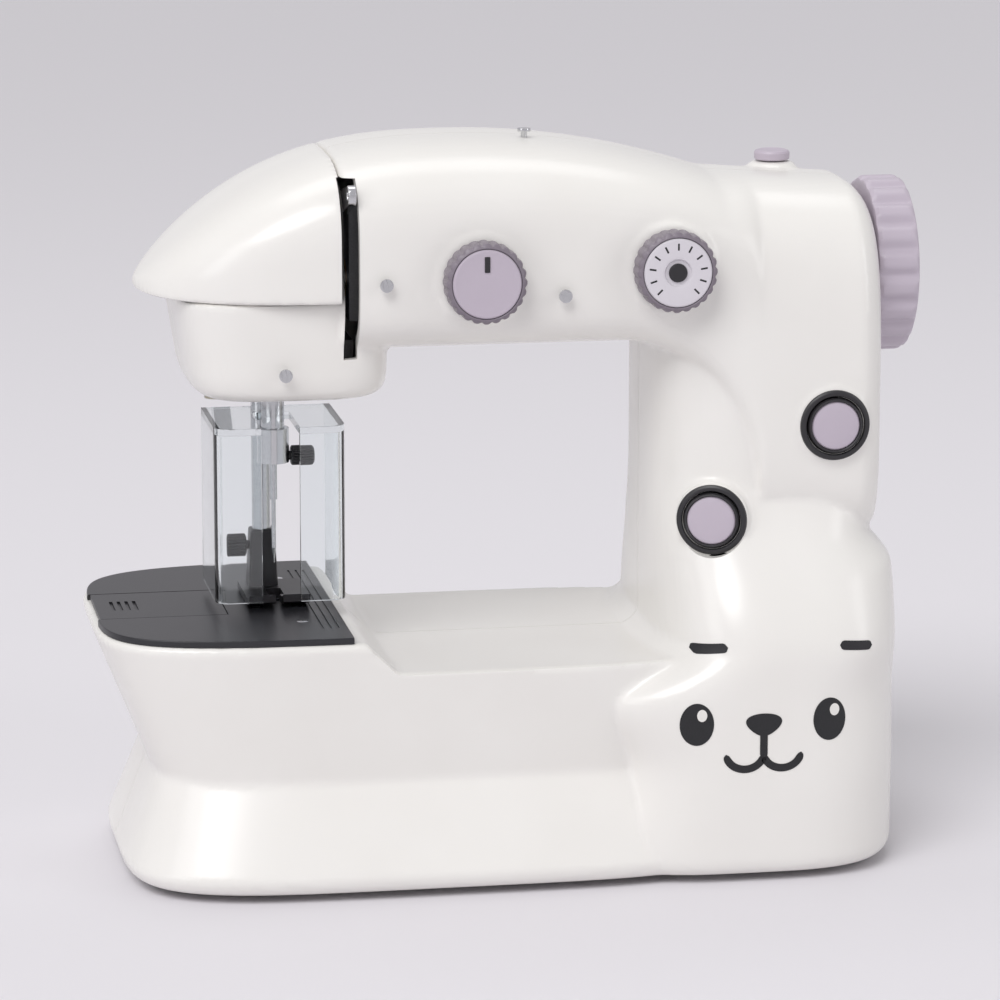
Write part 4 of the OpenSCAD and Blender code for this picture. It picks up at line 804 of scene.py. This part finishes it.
# %% [markdown]
# ## Plates on the bed
# The needle plate and the cover that slides off the bobbin are pressed steel under dark paint. The plate follows the
# bed's outline with a fine chamfer, and the cover runs in a dovetail. Three shallow grooves beside the foot help to
# keep a seam straight. Blocks and rods cut the openings, as a press tool does.

# %% Needle plate
PLATE_TOP, PLATE_INSET, PLATE_R = BED_TOP + 1.6, 1.2, -44.5
COVER_L, COVER_R, COVER_HALF, COVER_GAP = -106, -73, 15, 0.2
PLATE_EDGE = [(BED_TOP, 0), (PLATE_TOP - 0.35, 0), (PLATE_TOP - 0.1, 0.12), (PLATE_TOP, 0.35)]
FEED_ROWS, PLATE_SCREWS, SEAM_LINES = (-5.5, 5.5), (-25, 25), (-50.9, -48.9, -46.9)


def dovetail(name, low_x, high_x, half, bottom, top):
    """A bar along X that is wider below than above, so that it can't lift out."""
    corners = [(-half, bottom), (half, bottom), (half - 0.8, top), (0.8 - half, top)]
    return loft(name, [[(x, y, z) for y, z in corners] for x in (low_x, high_x)])


plate = loft("plate", [lift(bed_outline(PLATE_INSET + inset, 6, AROUND), z) for z, inset in PLATE_EDGE])
tools = [block("plate_end", (PLATE_R, -FAR, 0), (FAR, FAR, FAR)),
         dovetail("cover_way", -FAR, COVER_R + COVER_GAP, COVER_HALF + COVER_GAP,
                  BED_TOP - COVER_GAP, PLATE_TOP + COVER_GAP),
         rod("needle_hole", (NEEDLE_X, 0, BED_TOP - 1), UP, 1.6, 4)]
for x in FEED_ROWS:
    tools.append(block("feed_slot", (NEEDLE_X + x - 1.8, -8.35, BED_TOP - 1), (NEEDLE_X + x + 1.8, 8.35, FAR)))
for y in PLATE_SCREWS:
    tools.append(rod("screw_hole", (-55, y, BED_TOP - 1), UP, 1.52, 4))
for x in SEAM_LINES:
    tools.append(block("seam_line", (x - 0.25, -34, PLATE_TOP - 0.3), (x + 0.25, 34, FAR)))
cut(plate, tools)
settle(soften(plate, 0.1, 50, 1), "machine", satin_paint, "needle_plate", slot="dark_plate")

# %% Sliding bobbin cover
GRIP_LINES = (-101.55, -99.55, -97.55, -95.55)
cover = dovetail("cover", COVER_L, COVER_R, COVER_HALF, BED_TOP + COVER_GAP, PLATE_TOP)
soften(cover, 0.2, 40, 2)
cut(cover, [block("grip_line", (x - 0.45, -5, PLATE_TOP - 0.5), (x + 0.45, 5, FAR)) for x in GRIP_LINES])
settle(cover, "cover", satin_paint, "bobbin_cover", slot="dark_plate")

# %% [markdown]
# ## Finger guard and presser foot
# The guard is a clear box on the presser bar, open behind and below, with a slit in front for threading. Its upright
# edges have a generous radius that catches the light, because clear plastic shows mainly by its edges. The foot is a
# moulded sole on an ankle, with two toes that turn up so that cloth can slide in.


# %% Finger guard
def select(piece, part, wanted):
    """In edit mode, selects the faces or edges whose middle passes a test in millimetres."""
    bpy.ops.object.select_all(action="DESELECT")
    piece.select_set(True)
    bpy.context.view_layer.objects.active = piece
    bpy.ops.object.mode_set(mode="EDIT")
    bpy.ops.mesh.select_mode(type=part)
    bpy.ops.mesh.select_all(action="DESELECT")
    bpy.ops.object.mode_set(mode="OBJECT")
    mesh = piece.data
    for item in (mesh.edges if part == "EDGE" else mesh.polygons):
        corners = [mesh.vertices[i].co/MM for i in item.vertices]
        item.select = wanted(sum(corners, Vector())/len(corners), corners)
    bpy.ops.object.mode_set(mode="EDIT")


def round_uprights(piece, radius, limit):
    """Rounds the upright edges in front of a depth."""
    select(piece, "EDGE", lambda middle, ends: middle.y < limit and (ends[0] - ends[1]).xy.length < 0.01)
    bpy.ops.mesh.bevel(offset=radius*MM, offset_type="OFFSET", segments=8, affect="EDGES")
    bpy.ops.object.mode_set(mode="OBJECT")
    return piece


GUARD_L, GUARD_R, GUARD_F, GUARD_B, GUARD_LOW, GUARD_TOP = -76, -42, -16, 15, 71, 117
GUARD_WALL, GUARD_ROOF, CORNER_R, SLIT_HALF, BAR_R = 1.5, 2, 4, 5, 2.5
guard = block("guard", (GUARD_L, GUARD_F, GUARD_LOW), (GUARD_R, GUARD_B, GUARD_TOP))
inside = block("guard_room", (GUARD_L + GUARD_WALL, GUARD_F + GUARD_WALL, 0),
               (GUARD_R - GUARD_WALL, 60, GUARD_TOP - GUARD_ROOF))
round_uprights(guard, CORNER_R, 0)
round_uprights(inside, CORNER_R - GUARD_WALL, 0)
slit = block("guard_slit", (NEEDLE_X - SLIT_HALF, AHEAD, 0), (NEEDLE_X + SLIT_HALF, 5.5, FAR))
cut(guard, [inside, slit, rod("bar_hole", (PRESSER_X, PRESSER_Y, 80), UP, BAR_R + 0.02, 60)])
settle(soften(guard, 0.3, 45, 3), "presser", clear_guard, "needle_guard", slot="clear_plastic")

# %% Presser foot
FOOT_LOW, FOOT_TOP, FOOT_HALF, TOE_Y, HEEL_Y = 68.4, 70.4, 8, -11, 14
TOE_BEND, TOE_RISE, ANKLE_HALF, ANKLE_TOP = -5, 1.5, 4, 85.4
sole = block("sole", (NEEDLE_X - FOOT_HALF, TOE_Y, FOOT_LOW), (NEEDLE_X + FOOT_HALF, HEEL_Y, FOOT_TOP))
select(sole, "FACE", lambda middle, ends: True)
bpy.ops.mesh.subdivide(number_cuts=15)
bpy.ops.object.mode_set(mode="OBJECT")
for corner in sole.data.vertices:
    y = corner.co.y/MM
    corner.co.z += MM*TOE_RISE*max(0, (TOE_BEND - y)/(TOE_BEND - TOE_Y))**2
ankle = block("ankle", (PRESSER_X - ANKLE_HALF, PRESSER_Y - ANKLE_HALF, FOOT_LOW),
              (PRESSER_X + ANKLE_HALF, PRESSER_Y + ANKLE_HALF, ANKLE_TOP))
select(ankle, "FACE", lambda middle, ends: middle.z > ANKLE_TOP - 0.4)
bpy.ops.transform.resize(value=(0.8, 0.8, 1), center_override=Vector((PRESSER_X, PRESSER_Y, ANKLE_TOP))*MM)
bpy.ops.object.mode_set(mode="OBJECT")
soften(ankle, 0.7, 40, 3)
foot = combine(sole, ankle)
cut(foot, [rod("bar_socket", (PRESSER_X, PRESSER_Y, 75.9), UP, BAR_R + 0.02, 20),
           block("needle_slot", (NEEDLE_X - 2, -4, 60), (NEEDLE_X + 2, 3, 80)),
           block("toe_slit", (NEEDLE_X - 1, -14, 60), (NEEDLE_X + 1, -3, 80)),
           rod("foot_screw_hole", (PRESSER_X - 5, PRESSER_Y, FOOT_SCREW_Z), RIGHT, 1.22, 2.5)])
settle(soften(foot, 0.25, 50, 2), "presser", charcoal_abs, "presser_foot", slot="black_plastic")

# %% [markdown]
# ## Presser spring
# A spring on the presser bar pushes the foot down on the cloth. A round outline climbs a helix, as wire does on a
# winding machine. The top coil stays under its guide. When the lever lifts the bar, the coils close up.

# %% Presser spring
COIL_R, WIRE_R, TURNS, TURN_STEPS, WIRE_SIDES = 3.8, 0.45, 4, 32, 12
low_z, high_z = [corner[2]/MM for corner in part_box("presser_spring")]
wound = []
for i in range(TURNS*TURN_STEPS + 1):
    around = 2*math.pi*i/TURN_STEPS
    z = low_z + WIRE_R + (high_z - low_z - 2*WIRE_R)*i/(TURNS*TURN_STEPS)
    wire = rounded(WIRE_SIDES, 2, COIL_R, WIRE_R, z, WIRE_R)
    wound.append([(PRESSER_X + r*math.cos(around), PRESSER_Y + r*math.sin(around), height) for r, height in wire])
spring = settle(loft("spring_coil", wound), "machine", ground_steel, "presser_spring", slot="steel")
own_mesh(spring)

# %% [markdown]
# ## Socket rims
# Each socket in the right-hand wall has a bright plated rim. It is turned as one ring, and a rod opens its middle, so
# that the dark socket behind shows through.

# %% Socket rims
SOCKET_BORE, RIM_R = {"power": 2.8, "pedal": 1.8}, 3.7
for name, y in SOCKET_Y.items():
    bore = SOCKET_BORE[name]
    outer = [(0, bore), (0, RIM_R), (0.25, RIM_R), (0.4, RIM_R - 0.2)]
    inner = [(0.4, bore + 0.4), (0.3, bore + 0.1), (0.1, bore)]
    rim = turned(name + "_socket_rim", (BASE_R + 0.35, y, SOCKET_Z), RIGHT, outer + inner, sides=64)
    combine(rim, rod("rim_bore", (BASE_R - 5, y, SOCKET_Z), RIGHT, bore, 10), "DIFFERENCE")
    settle(rim, "machine", pressed_steel, slot="steel", angle=30)

# %% [markdown]
# ## Printed face
# A simple friendly animal face is pad-printed on the front of the column's foot: two straight brows, two oval eyes with
# a glint, a small nose and a smile. Each mark is a flat patch that is wrapped onto the curved shell and given the
# thickness of ink, so that it stays a piece of its own and follows the surface from every side.


# %% Face
def printed(name, rows, finish, proud, slot="black_plastic"):
    """Wraps a patch, given as rows of (x, z) points in millimetres, onto the front shell as a film of ink."""
    bpy.ops.object.select_all(action="DESELECT")
    bpy.ops.mesh.primitive_grid_add(x_subdivisions=len(rows[0]) - 1, y_subdivisions=len(rows) - 1, size=1)
    patch = named(name)
    patch.data.vertices.foreach_set("co", [c*MM for row in rows for x, z in row for c in (x, -80, z)])
    bpy.ops.object.mode_set(mode="EDIT")
    bpy.ops.mesh.select_all(action="SELECT")
    bpy.ops.mesh.remove_doubles(threshold=1e-6)
    bpy.ops.object.mode_set(mode="OBJECT")
    finish_step(patch, "SHRINKWRAP", target=front, wrap_method="PROJECT", use_project_x=False, use_project_y=True,
                use_project_z=False, use_negative_direction=True, use_positive_direction=True, offset=0.02*MM)
    if sum(face.normal.y*face.area for face in patch.data.polygons) > 0:
        patch.data.flip_normals()
    finish_step(patch, "SOLIDIFY", thickness=proud*MM, offset=1)
    return settle(patch, "machine", finish, slot=slot, angle=50)


def oval(x, z, half_w, half_h, rings=6, sides=40, taper=0):
    """Rows of an oval patch from its middle to its edge, which may be broader above than below."""
    rows = []
    for r in range(rings + 1):
        row = []
        for i in range(sides + 1):
            t = 2*math.pi*i/sides
            row.append((x + half_w*r/rings*math.cos(t)*(1 + taper*math.sin(t)), z + half_h*r/rings*math.sin(t)))
        rows.append(row)
    return rows


def stroke(points, width, steps=6):
    """Rows of a brush stroke of even width along a line of (x, z) points, with rounded ends."""
    rows = []
    for k in range(steps + 1):
        side = 2*k/steps - 1
        row = []
        for i, (x, z) in enumerate(points):
            ahead, behind = points[min(i + 1, len(points) - 1)], points[max(i - 1, 0)]
            run = Vector((ahead[0] - behind[0], ahead[1] - behind[1])).normalized()
            end = min(1, min(i, len(points) - 1 - i)/(0.14*len(points)))
            half = width/2*max(0.05, math.sqrt(1 - (1 - end)**2))
            row.append((x - run.y*side*half, z + run.x*side*half))
        rows.append(row)
    return rows


def arc(x, z, half_w, depth, low, high, count=28):
    """Points on part of an oval, by angle in degrees."""
    turns = [math.radians(angle) for angle in spread(low, high, (high - low)/count)]
    return [(x + half_w*math.cos(t), z + depth*math.sin(t)) for t in turns]


def dash(x, z, slope, count):
    """Points of a short straight line, half a millimetre apart."""
    return [(x + 0.5*i, z + slope*i) for i in range(count)]


EYES, EYE_Z, MOUTH_X, SMILE_X, SMILE_Z = (43, 78), 43, 60.5, 4.9, 35.2
BROW_W, LIP_W = 2.4, 2
FILM, LIP_FILM, GLINT_FILM = 0.1, 0.12, 0.2
for i, x in enumerate(EYES):
    printed("eye_%d" % i, oval(x, EYE_Z, 4.4, 5.6), ink, FILM)
    printed("glint_%d" % i, oval(x + 1.3, EYE_Z + 2.4, 1.3, 1.6, 3, 24), dull_white_abs, GLINT_FILM, "white_plastic")
printed("brow_0", stroke(dash(43, 61, 0.08, 18), BROW_W), ink, FILM)
printed("brow_1", stroke(dash(80.5, 62.4, -0.05, 19), BROW_W), ink, FILM)
printed("nose_print", oval(MOUTH_X, 42.4, 4.5, 3, taper=0.35), ink, FILM)
printed("lip_line", stroke([(MOUTH_X, 40.6 - 0.3*i) for i in range(24)], LIP_W), ink, LIP_FILM)
printed("smile_0", stroke(arc(MOUTH_X - SMILE_X, SMILE_Z, 5, 4.4, 185, 355), LIP_W), ink, FILM)
printed("smile_1", stroke(arc(MOUTH_X + SMILE_X, SMILE_Z, 5, 4.4, 185, 355), LIP_W), ink, FILM)

# %% [markdown]
# ## Finishes on the remaining pieces
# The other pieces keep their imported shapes. Each gets the finish of its real material and, where it can be seen, a live
# bevel over welded corners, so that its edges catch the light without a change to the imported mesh.

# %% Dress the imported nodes
DRESS = {
    pressed_steel: ["battery_contacts", "shell_screws", "plate_screws", "bobbin_case", "rotary_hook", "motor",
                    "needle_clamp", "take_up_lever", "presser_lever", "thread_guides", "feed_dog"],
    ground_steel: ["lower_shaft", "main_shaft", "needle_bar", "needle", "presser_bar"],
    cast_alloy: ["chassis", "crank_disc", "needle_yoke", "presser_collar"],
    bronze: ["shaft_bushes", "bar_bushes", "motor_pinion"],
    ivory_nylon: ["lower_pulley", "drive_gear", "upper_pulley"],
    soft_rubber: ["rubber_feet", "drive_belt"],
    dull_white_abs: ["bottom_cover", "battery_door"],
    charcoal_abs: ["dc_jack", "pedal_jack"],
    pink_bobbin: ["bobbin"],
    frosted_lens: ["lamp_lens"],
}
# The radius of each visible piece's edges, in millimetres.
EDGES = {"needle_clamp": 0.4, "take_up_lever": 0.35, "presser_lever": 0.6, "thread_guides": 0.25, "needle_bar": 0.2,
         "presser_bar": 0.2, "rubber_feet": 0.8, "bottom_cover": 0.4, "battery_door": 0.3, "dc_jack": 0.2,
         "pedal_jack": 0.2, "lamp_lens": 0.7, "plate_screws": 0.2, "shell_screws": 0.2, "feed_dog": 0.08}
for finish, nodes in DRESS.items():
    for node in nodes:
        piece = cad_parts[node]
        piece.data.materials.clear()
        piece.data.materials.append(finish)
        if node in EDGES:
            piece.modifiers.new("weld", "WELD").merge_threshold = 1e-6
            edge = piece.modifiers.new("edge", "BEVEL")
            edge.width, edge.segments, edge.angle_limit = EDGES[node]*MM, 2, math.radians(40)
            edge.use_clamp_overlap = True
            piece.modifiers.new("shade", "WEIGHTED_NORMAL")
print("dressed", sum(len(nodes) for nodes in DRESS.values()), "packed nodes")
